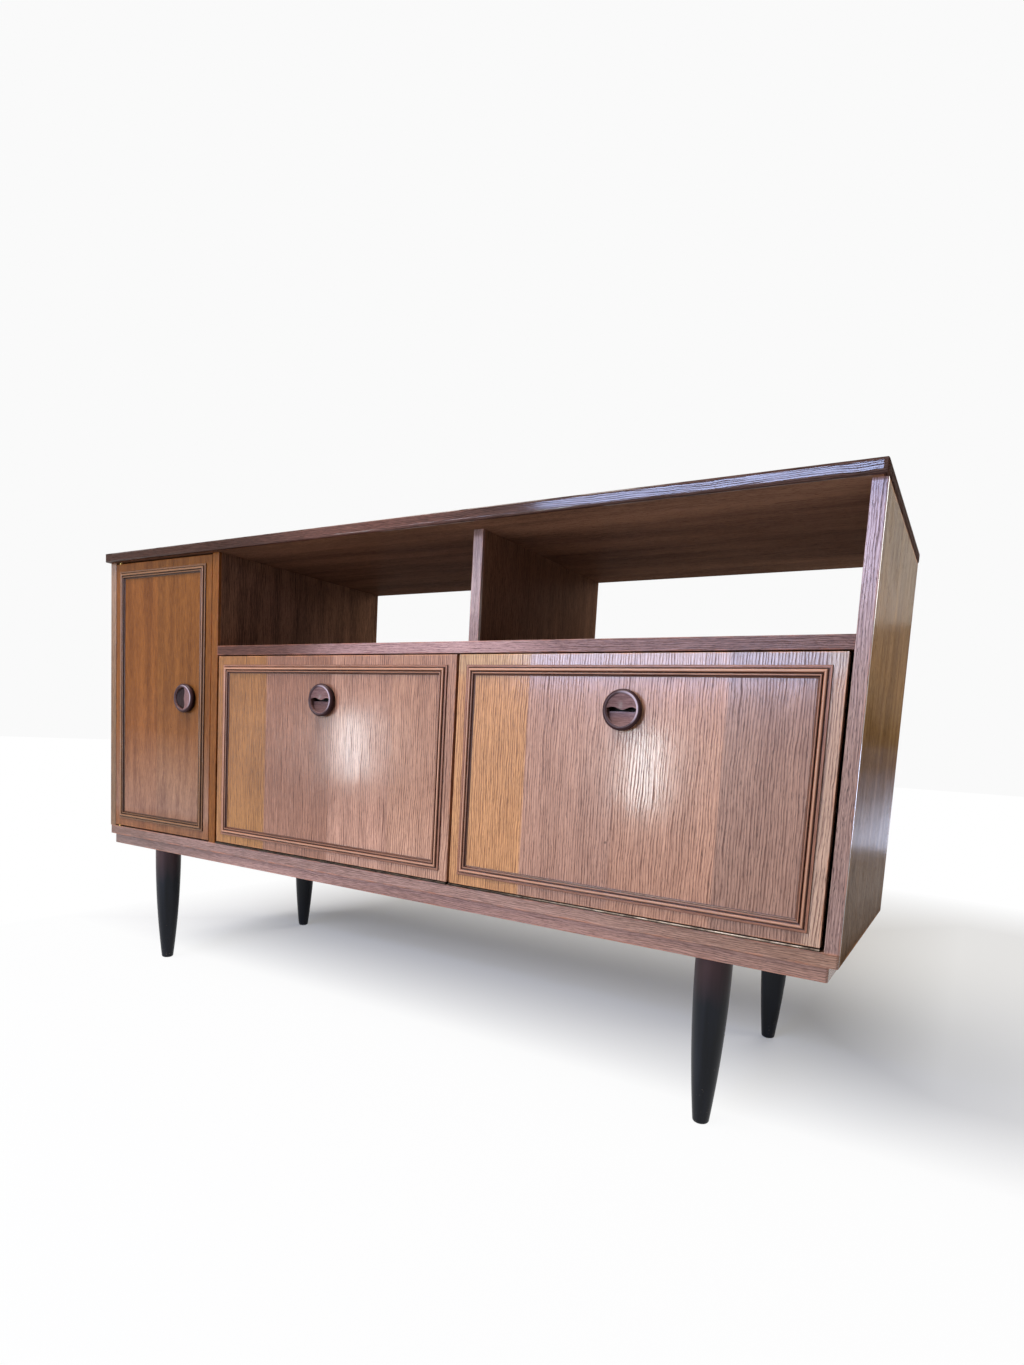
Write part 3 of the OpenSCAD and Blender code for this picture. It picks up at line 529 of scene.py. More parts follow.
def arc(x, y, r, start, end, steps):
    """Points round (x, y) from one angle to another, in degrees."""
    turns = [math.radians(start + (end - start) * i / steps) for i in range(steps + 1)]
    return [(x + r * math.cos(a), y + r * math.sin(a)) for a in turns]


# Mouldings, in mm from their outer edge and over the board

BEAD_R, BEAD_X, BEAD_TOP = 2.5, 7.2, 5.0
SMALL_R, SMALL_X, SMALL_TOP = 1.67, 12.17, 4.2
STEP_H, STEP_W = 2.4, 3.6
COVE_H, COVE_LIP = 1.9, 0.5


def moulding_profile(width):
    """The section of a strip: a flat step, the main bead, a small bead and a cove down to the board."""
    points = [(0.0, 0.0)]
    points += arc(0.7, STEP_H - 0.7, 0.7, 180, 90, 4)
    points += arc(STEP_W - 0.5, STEP_H - 0.5, 0.5, 90, 10, 3)
    points += [(STEP_W + 0.2, 1.3), (BEAD_X - BEAD_R - 0.1, 1.2)]
    points += arc(BEAD_X, BEAD_TOP - BEAD_R, BEAD_R, 205, -25, 14)
    points += [(SMALL_X - SMALL_R - 0.3, 1.25)]
    points += arc(SMALL_X, SMALL_TOP - SMALL_R, SMALL_R, 205, -15, 10)
    drop = COVE_H - COVE_LIP
    cove_w = width - SMALL_X - SMALL_R - 0.2
    points += [(width - cove_w * math.cos(a), COVE_H - drop * math.sin(a))
               for a in (math.radians(15 + 75 * i / 4) for i in range(5))]
    points += [(width, COVE_LIP), (width, 0.0)]
    return points


STRIP_W = 16 * MM
MITRE_GAP = 0.05 * MM
UV_TURN, UV_STEP = 1.7, 0.3

# How dark a strip is in its quirks, dirty and in painted shade, and where its bead crests are lighter, rubbed
# and with a painted highlight, by the distance from its outer edge
QUIRK_DIRT_AND_SHADE = ((0.0, 0.9), (0.7, 0.1), (3.2, 0.1), (4.1, 1.0), (5.0, 0.7), (5.9, 0.0), (8.4, 0.0), (9.5, 0.8),
        (10.7, 1.0), (11.3, 0.35), (12.9, 0.35), (13.8, 1.0), (15.2, 0.6), (16.0, 1.0))
CREST_WEAR_AND_HIGHLIGHT = ((0.0, 0.0), (5.9, 0.0), (6.7, 1.0), (7.6, 1.0), (8.3, 0.0), (11.7, 0.0), (12.2, 0.5), (12.7, 0.0))


def moulding(node, material):
    """Four mitred strips round a front, in place of the CAD strips. The UV map runs along each strip."""
    low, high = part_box(node)
    corners = [(low.x, low.z), (high.x, low.z), (high.x, high.z), (low.x, high.z)]
    points = [(a * MM, h * MM) for a, h in moulding_profile(STRIP_W / MM)]
    bm = bmesh.new()
    uv = bm.loops.layers.uv.new("grain")
    for i, (x0, z0) in enumerate(corners):
        x1, z1 = corners[(i + 1) % 4]
        run = Vector((x1 - x0, 0.0, z1 - z0))
        length = run.length
        run.normalize()
        inward = Vector((-run.z, 0.0, run.x))
        ends = []
        for end in (0, 1):
            row = []
            for across, height in points:
                along = MITRE_GAP + across if end == 0 else length - MITRE_GAP - across
                place = Vector((x0, high.y - height, z0)) + run * along + inward * across
                row.append((bm.verts.new(place), along + i * UV_TURN, across))
            ends.append(row)
        rings = [(ends[0][j], ends[0][j + 1 - len(points)], ends[1][j + 1 - len(points)], ends[1][j])
                 for j in range(len(points))]
        for corner_row in (*rings, *ends):
            face = bm.faces.new([vert for vert, _, _ in corner_row])
            for loop, (_, u, v) in zip(face.loops, corner_row):
                loop[uv].uv = (u, v + i * UV_STEP)
    piece(node + "_strips", mesh_of(bm, node), node, "moulding_wood", material)


def moulding_oak(name, palette, worn):
    """Solid oak whose grain runs along each strip, by the UV map. worn is the tone of the lighter bead
    crests, rubbed and with a painted highlight; the quirks are darker, dirty and in painted shade.
    """
    material, t, shader = new_material(name, {"Specular IOR Level": 0.3})
    u, v, _ = t.split(t.get("ShaderNodeUVMap", uv_map="grain"))
    grain = oak_grain(t, t.join(v, 0.0, u), 0.3, palette, ring=3.0, rings=0.4, streaks=0.5, pores=0.4,
                      figure_w=30.0, figure=0.4, sway=4.0)
    # The quirks are darkened, dirty and in painted shade, and the bead crests lightened, rubbed and with a
    # painted highlight
    across = t.over(t.calc("FLOORED_MODULO", v, UV_STEP), MM)
    quirk_dirt_and_shade, crest_highlight = (t.ramp(across, 0.0, STRIP_W / MM, stops) for stops in (QUIRK_DIRT_AND_SHADE, CREST_WEAR_AND_HIGHLIGHT))
    colour = t.blend(quirk_dirt_and_shade, grain["Color"], t.tinted(grain["Color"], tone(80, 50, 40)))
    t.feed(shader, {
        "Base Color": t.blend(t.times(crest_highlight, 0.5), colour, worn),
        "Roughness": t.times_plus(grain["Pore Mask"], 0.2, 0.26), "Normal": bump(t, grain["Height"], 0.08)})
    return material


# Pulls, in mm: x to the right, y up and z out of the board

PULL_R, PULL_TOP = 28.5, 12.0
SHOULDER_W, SHOULDER_H, RIM_W, RIM_H = 4.2, 4.6, 2.0, 2.0
CREST_R = PULL_R - SHOULDER_W
PULL_INNER = CREST_R - RIM_W
PULL_FACE = PULL_TOP - RIM_H
PULL_DISH, PULL_LIP, PULL_FLOOR, PULL_UNDER = 2.4, 3.0, -5.5, 9.0
SPIGOT_R, SPIGOT_H = 23.0, 9.0
BOWL_FOOT, BOWL_EDGE, BOWL_DEEP = 1.2, -2.4, 3.0
WAVE_H, WAVE_W, LIP_STEPS = 2.0, 14.0, 40
ABOVE = 30.0

# How much a way to the right and a way up lead towards the light
LIGHT_X, LIGHT_Z = 0.85, 0.45


def lathe(points, steps=96):
    """A closed solid of revolution about z from (radius, z) points, given from axis to axis."""
    bm = bmesh.new()
    rings = []
    for r, z in points:
        if r < MERGE:
            rings.append([bm.verts.new((0.0, 0.0, z))])
            continue
        turns = [2 * math.pi * i / steps for i in range(steps)]
        rings.append([bm.verts.new((r * math.cos(a), r * math.sin(a), z)) for a in turns])
    for a, b in zip(rings, rings[1:]):
        for i in range(steps):
            k = (i + 1) % steps
            corners = [a[i % len(a)], a[k % len(a)], b[k % len(b)], b[i % len(b)]]
            face = list(dict.fromkeys(corners))
            if len(face) > 2:
                bm.faces.new(face)
    bmesh.ops.recalc_face_normals(bm, faces=bm.faces)
    return bm


def prism(outline, low, high, place):
    """A closed solid between two copies of an outline. place turns (a, b, depth) into a point."""
    bm = bmesh.new()
    rows = [[bm.verts.new(place(a, b, d)) for a, b in outline] for d in (low, high)]
    for row in rows:
        bm.faces.new(row)
    for i in range(len(outline)):
        k = (i + 1) % len(outline)
        bm.faces.new([rows[0][i], rows[0][k], rows[1][k], rows[1][i]])
    bmesh.ops.recalc_face_normals(bm, faces=bm.faces)
    return bm


def helper(bm, name):
    """A bmesh as an object that only helps to cut another."""
    return in_scene(name, plain_mesh(bm, name))


def cut(obj, operation, tool):
    modifier = obj.modifiers.new(operation.lower(), "BOOLEAN")
    modifier.operation = operation
    modifier.solver = "EXACT"
    modifier.object = tool


def baked(obj):
    """The object's mesh with its modifiers applied."""
    graph = bpy.context.evaluated_depsgraph_get()
    return bpy.data.meshes.new_from_object(obj.evaluated_get(graph))


def pull_mesh():
    """A turned pull with a dished face, a half-round rim and a finger recess under a wavy lip."""
    dish = [(PULL_INNER * i / 12, PULL_FACE - PULL_DISH * (1 - (i / 12) ** 2)) for i in range(13)]
    rim = [(CREST_R + RIM_W * x, PULL_FACE + RIM_H * y) for x, y in arc(0.0, 0.0, 1.0, 165, 90, 6)]
    shoulder = [(CREST_R + SHOULDER_W * x, PULL_TOP - SHOULDER_H * (1 - y))
                for x, y in arc(0.0, 0.0, 1.0, 80, 0, 8)]
    base = [(PULL_R - 0.9, 4.0), (PULL_R - 2.0, 0.0), (SPIGOT_R, 0.0), (SPIGOT_R, -SPIGOT_H),
            (0.0, -SPIGOT_H)]
    blank = helper(lathe(dish + rim + shoulder + base), "blank")
    run = BOWL_EDGE + PULL_INNER
    fall = PULL_FACE - BOWL_FOOT - BOWL_DEEP
    bowl = [(run * i / 10 - PULL_INNER, PULL_FACE - BOWL_FOOT - fall * math.sin(math.pi / 2 * i / 10))
            for i in range(11)]
    side = [(-PULL_INNER, 2 * PULL_TOP)] + bowl
    side += [(BOWL_EDGE + 1.5, PULL_FLOOR), (PULL_UNDER, PULL_FLOOR), (PULL_UNDER, 2 * PULL_TOP)]
    recess = helper(prism(side, -PULL_R, PULL_R, lambda a, b, d: (d, a, b)), "recess")
    room_r = PULL_INNER - 0.5
    room = helper(lathe([(0, -SPIGOT_H), (room_r, -SPIGOT_H), (room_r, ABOVE), (0, ABOVE)]), "room")
    across = [PULL_R * (2 * i / LIP_STEPS - 1) for i in range(LIP_STEPS + 1)]
    edge = [(x, WAVE_H - WAVE_H * math.cos(math.pi * x / WAVE_W)) for x in across]
    lip_plan = edge + [(PULL_R, PULL_R), (-PULL_R, PULL_R)]
    under = PULL_FACE - PULL_DISH - PULL_LIP
    lip = helper(prism(lip_plan, under, ABOVE, lambda a, b, d: (a, b, d)), "lip")
    cut(recess, "INTERSECT", room)
    cut(recess, "DIFFERENCE", lip)
    cut(blank, "DIFFERENCE", recess)
    soften = blank.modifiers.new("soften", "BEVEL")
    soften.width = 0.45
    soften.segments = 2
    soften.limit_method = "ANGLE"
    soften.angle_limit = math.radians(38)
    mesh = baked(blank)
    for obj in (blank, recess, room, lip):
        bpy.data.objects.remove(obj)
    return mesh


def set_points(mesh, name, values):
    """Gives each point of the mesh a number that shaders read."""
    mesh.attributes.new(name, "FLOAT", "POINT").data.foreach_set("value", values)


def pull(node, front, source, material, bowl_shade):
    """One pull in its place on a front, with its own plane as the UV map, and numbers at its points for
    the radius, for the painted shade in the recess and for how far each lies towards the light. soiled is
    how dark the open bowl is painted, a painted shade. The door's pull is turned on its side."""
    low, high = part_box(node)
    centre = (low + high) / 2
    face_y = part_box(front)[0].y
    mesh = source.copy()
    mesh.name = node
    uv = mesh.uv_layers.new(name="grain")
    for loop in mesh.loops:
        x, y, _ = mesh.vertices[loop.vertex_index].co
        uv.data[loop.index].uv = (x * MM, y * MM)
    set_points(mesh, "radius", [math.hypot(v.co.x, v.co.y) / PULL_R for v in mesh.vertices])
    under = PULL_FACE - PULL_DISH - PULL_LIP + 0.4
    # Painted shade: black in the pocket under the lip, and as dark as soiled in the open bowl
    darkness = []
    for v in mesh.vertices:
        x, y, z = v.co
        past_edge = y > BOWL_EDGE + 0.8
        pocket = past_edge and z < under
        bowl = not past_edge and z < PULL_FACE - 0.9 and math.hypot(x, y) < PULL_INNER + 0.3
        darkness.append(1.0 if pocket else bowl_shade if bowl else 0.0)
    set_points(mesh, "shade", darkness)
    for v in mesh.vertices:
        x, y, z = v.co * MM
        if node == "door_pull":
            x, y = y, -x
        v.co = (centre.x + x, face_y - z, centre.z + y)
    towards_light = [LIGHT_X * (v.co.x - centre.x) + LIGHT_Z * (v.co.z - centre.z) for v in mesh.vertices]
    set_points(mesh, "lit", [reach / (PULL_R * MM) for reach in towards_light])
    mesh.shade_smooth()
    mesh.set_sharp_from_angle(angle=math.radians(PULL_SMOOTH_UP_TO))
    piece(node + "_turned", mesh, node, "pull_wood", material)


def pull_wood():
    """Dark stained turned wood, with painted light: a painted highlight along the top of the rim towards the
    light, and painted shade on the far side, on the rim's outer wall and in the recess.
    """
    material, t, shader = new_material("turned pull wood", lacquer(0.05, 0.12, 0.16))
    u, v, _ = t.split(t.get("ShaderNodeUVMap", uv_map="grain"))
    grain = oak_grain(t, t.join(v, 0.0, u), 0.7, PULL_OAK, ring=1.6, rings=0.6, streaks=0.6, pores=0.35,
                      figure_w=12.0, figure=0.4, sway=3.0)
    radius, lit, deep = (t.point_value(name) for name in ("radius", "lit", "shade"))
    # A painted highlight along the top of the rim, on the side towards the light
    crest_highlight = t.times(t.spread(radius, 0.76, 0.8), t.spread(radius, 0.91, 0.86))
    crest_highlight = t.times(crest_highlight, t.spread(lit, 0.15, 0.75, 0.05, 0.9))
    # Painted shade on the side away from the light
    colour = t.blend(t.spread(lit, 0.3, -0.9, 0.0, 0.5), grain["Color"], tone(96, 62, 50))
    # Painted shade on the rim's outer wall
    colour = t.blend(t.spread(radius, 0.77, 0.81), colour, tone(56, 34, 33))
    colour = t.blend(crest_highlight, colour, tone(198, 176, 178))
    # Near black in the pocket and darker in the bowl: painted shade read from the shade numbers
    t.feed(shader, {
        "Base Color": t.blend(deep, colour, tone(20, 12, 10)),
        "Coat Weight": t.spread(deep, 0.0, 0.8, 0.12, 0.0),
        "Roughness": t.times_plus(grain["Pore Mask"], 0.25, 0.3), "Normal": bump(t, grain["Height"], 0.06)})
    return material


# Legs, by a rule in geometry nodes

LEG_TIP_R, LEG_TIP_ROUND = 11 * MM, 3.5 * MM
RING_CROWDING = 1.7


def leg_tree():
    """A turned leg that swells like a parabola from a rounded tip. All sizes are in metres."""
    t, given, out = new_group(
        "turned leg", "GeometryNodeTree",
        "Height: float, Top Radius: float, Tip Radius: float, Tip Round: float, Segments: int, Rings: int, "
        "Place: vector, Material: material", "Geometry: geometry")
    around = t.plus(given["Segments"], 1.0)
    grid = t.get("GeometryNodeMeshGrid", {"Size X": 1.0, "Size Y": 1.0, "Vertices X": around,
                                          "Vertices Y": given["Rings"]})
    x, y, _ = t.split(t.get("GeometryNodeInputPosition"))
    turn = t.times(t.plus(x, 0.5), 2 * math.pi)
    row = t.plus(y, 0.5)
    ring_step = t.over(1.0, t.minus(given["Rings"], 1.0))
    climbed = t.spread(row, ring_step, t.minus(1.0, ring_step))
    rise = t.calc("POWER", climbed, RING_CROWDING)
    height = t.times(rise, given["Height"])
    hollow = t.calc("POWER", t.minus(1.0, rise), 2.0)
    narrowing = t.times(hollow, t.minus(given["Top Radius"], given["Tip Radius"]))
    side = t.minus(given["Top Radius"], narrowing)
    up_tip = t.least(t.over(height, given["Tip Round"]), 1.0)
    short = t.minus(1.0, up_tip)
    round_off = t.minus(1.0, t.calc("SQRT", t.minus(1.0, t.times(short, short))))
    radius = t.minus(side, t.times(round_off, given["Tip Round"]))
    half_step = t.times(ring_step, 0.5)
    above = t.calc("GREATER_THAN", row, half_step)
    below = t.calc("LESS_THAN", row, t.minus(1.0, half_step))
    radius = t.times(radius, t.times(above, below))
    spot = t.join(t.times(t.calc("COSINE", turn), radius), t.times(t.calc("SINE", turn), radius), height)
    placed = t.get("ShaderNodeVectorMath", {0: spot, 1: given["Place"]}, operation="ADD")
    shaped = t.get("GeometryNodeSetPosition", {"Geometry": grid, "Position": placed})
    closed = t.get("GeometryNodeMergeByDistance", {"Geometry": shaped, "Distance": 1e-5})
    t.feed(out, {"Geometry": t.dressed(closed, given["Material"])})
    return t.tree


def screw_tree():
    """Slotted countersunk screws, each with its head at a point of the given mesh and its slot turned at
    random. All sizes are in metres."""
    t, given, out = new_group(
        "slotted screws", "GeometryNodeTree",
        "Points: geometry, Head Radius: float, Head Height: float, Shank Radius: float, Length: float, "
        "Slot Width: float, Tilt: float, Seed: int, Material: material", "Geometry: geometry")
    head_h = given["Head Height"]

    def cone(sides, top, foot, height, drop):
        whole = t.get("GeometryNodeMeshCone", {"Vertices": sides, "Radius Top": top, "Radius Bottom": foot,
                                               "Depth": height})
        return t.get("GeometryNodeTransform", {"Geometry": whole,
                                               "Translation": t.join(0.0, 0.0, t.times(drop, -1.0))})

    head = cone(32, given["Head Radius"], given["Shank Radius"], head_h, head_h)
    shank_h = t.minus(given["Length"], t.times(head_h, 0.8))
    point = t.times(given["Shank Radius"], 0.25)
    shank = cone(24, given["Shank Radius"], point, shank_h, given["Length"])
    whole = t.add("GeometryNodeMeshBoolean", {"Mesh 2": head}, operation="UNION")
    t.feed(whole.inputs, {"Mesh 2": shank})
    across = t.times(given["Head Radius"], 2.4)
    slot = t.get("GeometryNodeMeshCube", {"Size": t.join(given["Slot Width"], across, head_h)})
    slotted = t.get("GeometryNodeMeshBoolean", {"Mesh 1": whole.outputs[0], "Mesh 2": slot},
                    operation="DIFFERENCE")
    turn = t.get("FunctionNodeRandomValue", {
        0: t.join(given["Tilt"], 0.0, 0.0), 1: t.join(given["Tilt"], 0.0, 2 * math.pi), "Seed": given["Seed"],
    }, data_type="FLOAT_VECTOR")
    row = t.get("GeometryNodeInstanceOnPoints", {"Points": given["Points"], "Instance": slotted,
                                                 "Rotation": turn})
    t.feed(out, {"Geometry": t.dressed(row, given["Material"])})
    return t.tree


def pin_tree():
    """Small domed pin heads at even steps along the edges of the given mesh. All sizes are in metres."""
    t, given, out = new_group(
        "panel pins", "GeometryNodeTree",
        "Lines: geometry, Pitch: float, Head Radius: float, Head Height: float, Material: material",
        "Geometry: geometry")
    curves = t.get("GeometryNodeMeshToCurve", {"Mesh": given["Lines"]})
    spaced = t.get("GeometryNodeResampleCurve", {"Curve": curves, "Length": given["Pitch"]}, mode="LENGTH")
    dome = t.get("GeometryNodeMeshUVSphere", {"Segments": 12, "Rings": 6, "Radius": given["Head Radius"]})
    flat = t.join(1.0, t.over(given["Head Height"], given["Head Radius"]), 1.0)
    dome = t.get("GeometryNodeTransform", {"Geometry": dome, "Scale": flat})
    row = t.get("GeometryNodeInstanceOnPoints", {"Points": spaced, "Instance": dome})
    t.feed(out, {"Geometry": t.dressed(row, given["Material"])})
    return t.tree


def grown(tree, values, points=(), lines=()):
    """The mesh that a geometry node tree makes from its named inputs, and from points and the lines
    between them where it takes a mesh."""
    seed = bpy.data.meshes.new("seed")
    seed.from_pydata(points, lines, [])
    obj = in_scene("seed", seed)
    modifier = obj.modifiers.new("grow", "NODES")
    modifier.node_group = tree
    for item in tree.interface.items_tree:
        if item.item_type == "SOCKET" and item.in_out == "INPUT" and item.name in values:
            modifier[item.identifier] = values[item.name]
    mesh = baked(obj)
    bpy.data.objects.remove(obj)
    return mesh


def legs(material):
    """The four legs, as high and as thick at the top as the CAD legs."""
    tree = leg_tree()
    for node in ("leg_front_left", "leg_front_right", "leg_back_left", "leg_back_right"):
        low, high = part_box(node)
        centre = (low + high) / 2
        mesh = grown(tree, {
            "Height": high.z - low.z, "Top Radius": (high.x - low.x) / 2, "Tip Radius": LEG_TIP_R,
            "Tip Round": LEG_TIP_ROUND, "Segments": 72, "Rings": 56,
            "Place": (centre.x, centre.y, low.z), "Material": material,
        })
        bm = bmesh.new()
        bm.from_mesh(mesh)
        piece(node + "_turned", mesh_of(bm, node), node, "leg_lacquer", material)


def leg_lacquer():
    """Near-black satin lacquer, red-brown towards the top and chipped near the tip."""
    material, t, shader = new_material("black leg lacquer", lacquer(0.15, 0.1, 0.15))
    here = t.here()
    z = t.split(here)[2]
    cloud = t.noise(t.stretched(here, 60.0, 60.0, 6.0), 1.0, 3.0)
    black = t.blend(t.spread(cloud, 0.35, 0.7), tone(12, 14, 18), tone(24, 26, 32))
    brown_share = t.spread(t.times_plus(t.minus(cloud, 0.5), 0.06, z), 0.17, 0.245)
    colour = t.blend(t.times(brown_share, 0.75), black, tone(70, 44, 42))
    low_down = t.spread(z, 0.1, 0.01, 0.0, 0.06)
    chip = t.spread(t.noise(here, 260.0, 3.0, 0.7), t.minus(0.74, low_down), t.minus(0.77, low_down))
    t.feed(shader, {
        "Base Color": t.blend(chip, colour, tone(150, 128, 108)),
        "Roughness": t.times_plus(chip, 0.3, t.spread(cloud, 0.3, 0.7, 0.28, 0.42)),
        "Normal": bump(t, t.minus(t.times(cloud, 0.3), chip), 0.15)})
    return material


# Metal

BRUSH_SCALE = 900.0


def metal(name, bright, dull, rough, barrel=None):
    """Plated metal with a brushed, slightly stained surface. barrel is the height of a hinge's barrel, which
    is bright only where it stands out; above and below it and towards the left it is darker, grimy and in
    painted shade."""
    material, t, shader = new_material(name, {"Metallic": 1.0})
    here = t.here()
    stain = t.spread(t.noise(here, 60.0, 4.0, 0.65), 0.38, 0.68)
    shine = t.blend(stain, bright, dull)
    if barrel:
        x, _, z = t.split(here)
        off = t.calc("ABSOLUTE", t.minus(z, barrel))
        # Darker above and below the barrel, where it meets the boards, and towards the left: grimy metal and
        # painted shade
        grime_and_shade = t.most(t.spread(off, 0.7 * MM, 1.3 * MM), t.spread(x, 0.5, 0.25, 0.0, 0.85))
        shine = t.blend(grime_and_shade, shine, tone(26, 19, 15))
    brushed = t.noise(here, BRUSH_SCALE, 2.0)
    gloss = t.plus(t.spread(stain, 0.0, 1.0, rough, rough + 0.2), t.spread(brushed, 0.3, 0.7, -0.04, 0.04))
    t.feed(shader, {"Base Color": shine, "Roughness": gloss, "Normal": bump(t, brushed, 0.02)})
    return material


def dress(material, *nodes):
    """The finish of CAD nodes whose own shape is shown."""
    for node in nodes:
        obj = frame["nodes"][node]
        obj.data.materials.clear()
        obj.data.materials.append(material)


def fibre_board(name, palette):
    """A thin stained back board with fine short fibres."""
    material, t, shader = new_material(name, {})
    here = t.here()
    fibre = t.noise(t.stretched(here, 420.0, 420.0, 60.0), 1.0, 4.0, 0.7)
    cloud = t.noise(here, 5.0, 3.0)
    share = t.plus(t.spread(fibre, 0.3, 0.7, 0.0, 0.6), t.spread(cloud, 0.3, 0.7, 0.0, 0.4))
    t.feed(shader, {"Base Color": t.blend(share, palette[1], palette[0]),
                    "Roughness": t.spread(fibre, 0.3, 0.7, 0.6, 0.8), "Normal": bump(t, fibre, 0.1)})
    return material


# The cabinet

# Leaves of veneer on the fronts: where each starts along x, in metres, and what its tone is multiplied by
DOOR_LEAVES = ((-0.731, (1.0, 0.97, 0.95)), (-0.588, (0.96, 0.98, 0.98)))
LEFT_LEAVES = (
    (-0.397, (0.6, 0.49, 0.23)), (-0.263, (0.52, 0.45, 0.41)), (-0.1, (0.76, 0.74, 0.72)),
    (0.035, (0.75, 0.73, 0.68)))
RIGHT_LEAVES = (
    (0.167, (1.0, 0.94, 0.6)), (0.295, (0.82, 0.86, 0.88)), (0.44, (0.86, 0.87, 0.84)),
    (0.588, (0.65, 0.7, 0.74)), (0.705, (0.9, 1.1, 1.15)))

# Painted light on a board's tone, tints for painted sheen, reflection and shade: an axis, then places along
# it, in metres, with tints
# The door: a painted reflection of the pale floor, lighter and bluer towards the bottom
DOOR_PAINTED_REFLECTION = ("z", (
    (0.276, (1.25, 1.45, 2.2)), (0.31, (1.3, 1.6, 3.2)), (0.34, (1.42, 2.15, 5.6)),
    (0.38, (1.38, 2.0, 4.8)), (0.5, (1.06, 1.1, 1.4)), (0.6, 1.0)))
# The left flap: a painted reflection, lighter and bluer towards the bottom
LEFT_FLAP_PAINTED_REFLECTION = ("z", ((0.277, (1.3, 1.42, 1.5)), (0.34, (1.25, 1.35, 1.42)), (0.43, 1.0)))
# The right flap: a painted lilac sheen along the top band
RIGHT_FLAP_PAINTED_SHEEN = ("z", ((0.277, 1.0), (0.61, 1.0), (0.63, (0.95, 1.15, 1.35))))
# The sides: darker towards the bottom, and a painted sheen as a lighter, yellower band from about 0.57 to
# 0.72 m
SIDE_PAINTED_LIGHT = ("z", (
    (0.235, (0.5, 0.43, 0.4)), (0.36, (0.6, 0.52, 0.48)), (0.5, (0.76, 0.67, 0.62)),
    (0.57, (1.05, 0.97, 0.8)), (0.64, (1.35, 1.22, 0.98)), (0.72, (1.25, 1.15, 1.0)),
    (0.8, (1.05, 1.05, 1.02))))
# The top: painted light, darker to the left and lighter and bluer to the right
TOP_PAINTED_LIGHT = ("x", (
    (-0.4, (0.8, 0.78, 0.8)), (0.1, (0.85, 0.83, 0.85)), (0.45, (1.4, 1.5, 1.6)), (0.75, (1.5, 1.65, 1.8))))
# The top's front lipping: painted shade to the left and a painted sheen in the middle, leading into the
# lamp's lilac sheen
TOP_EDGE_PAINTED_LIGHT = ("x", (
    (-0.75, (0.55, 0.45, 0.38)), (-0.35, (0.65, 0.55, 0.48)), (-0.1, (1.5, 1.4, 1.4)),
    (0.12, (1.6, 1.45, 1.45)), (0.25, 1.0)))
# The side lippings: a painted lilac sheen towards the top
SIDE_EDGE_PAINTED_SHEEN = ("z", (
    (0.3, (1.05, 1.05, 1.0)), (0.5, (0.95, 0.93, 0.84)), (0.62, (0.98, 0.98, 0.94)),
    (0.72, (1.1, 1.2, 1.35)), (0.8, (1.25, 1.4, 1.7))))
# The shelf lipping: painted shade to the left and a painted lilac sheen towards the middle
SHELF_EDGE_PAINTED_LIGHT = ("x", (
    (-0.4, (0.45, 0.38, 0.34)), (-0.2, (0.55, 0.5, 0.5)), (-0.05, (1.4, 1.6, 1.85)), (0.2, (1.7, 2.0, 2.3)),
    (0.35, (1.0, 1.05, 1.1)), (0.7, (0.8, 0.82, 0.82))))
# The bottom lipping: painted shade to the left and a painted bluish sheen to the right
BOTTOM_EDGE_PAINTED_LIGHT = ("x", (
    (-0.75, (0.66, 0.68, 0.69)), (-0.3, (1.0, 1.12, 1.3)), (0.2, (1.1, 1.22, 1.35)),
    (0.75, (1.02, 1.08, 1.0))))
# The plinth's front rail: painted shade to the left and a painted bluish sheen to the right
PLINTH_PAINTED_LIGHT = ("x", (
    (-0.75, (0.64, 0.75, 0.83)), (-0.3, (1.1, 1.18, 1.35)), (0.2, (1.05, 1.1, 1.25)),
    (0.75, (1.15, 1.2, 1.2))))

# How much varnish is left on the sides, by height
SIDE_RUBBED = ((0.24, 0.1), (0.29, 0.8), (0.33, 1.0), (0.42, 0.75), (0.47, 0.25), (0.51, 0.07),
               (0.56, 0.06), (0.6, 0.34), (0.68, 0.4), (0.8, 0.36))

# The open sides of a board, by the ends of its three axes
ALL_ROUND = "x0 x1 y0 y1 z0 z1"
LEVEL_FRONT, LEVEL_BACK = "y0 z0 z1", "y1 z0 z1"
UPRIGHT_FRONT, UPRIGHT_BACK = "x0 x1 y0", "x0 x1 y1"

VENEER_SKIN = 2 * MM
CORNER_REACH = 8 * MM
PLAIN = {"palette": DARK_OAK, "varnish": DULL}
INNER = {**PLAIN, "rings": 0.55, "streaks": 0.4}


def board(node, planes, ease, slot, name, along, round_reach=0.0, **looks):
    """A CAD board in oak of its own."""
    eased_board(node, planes, ease, slot, oak(name, node, along, **looks), round_reach)


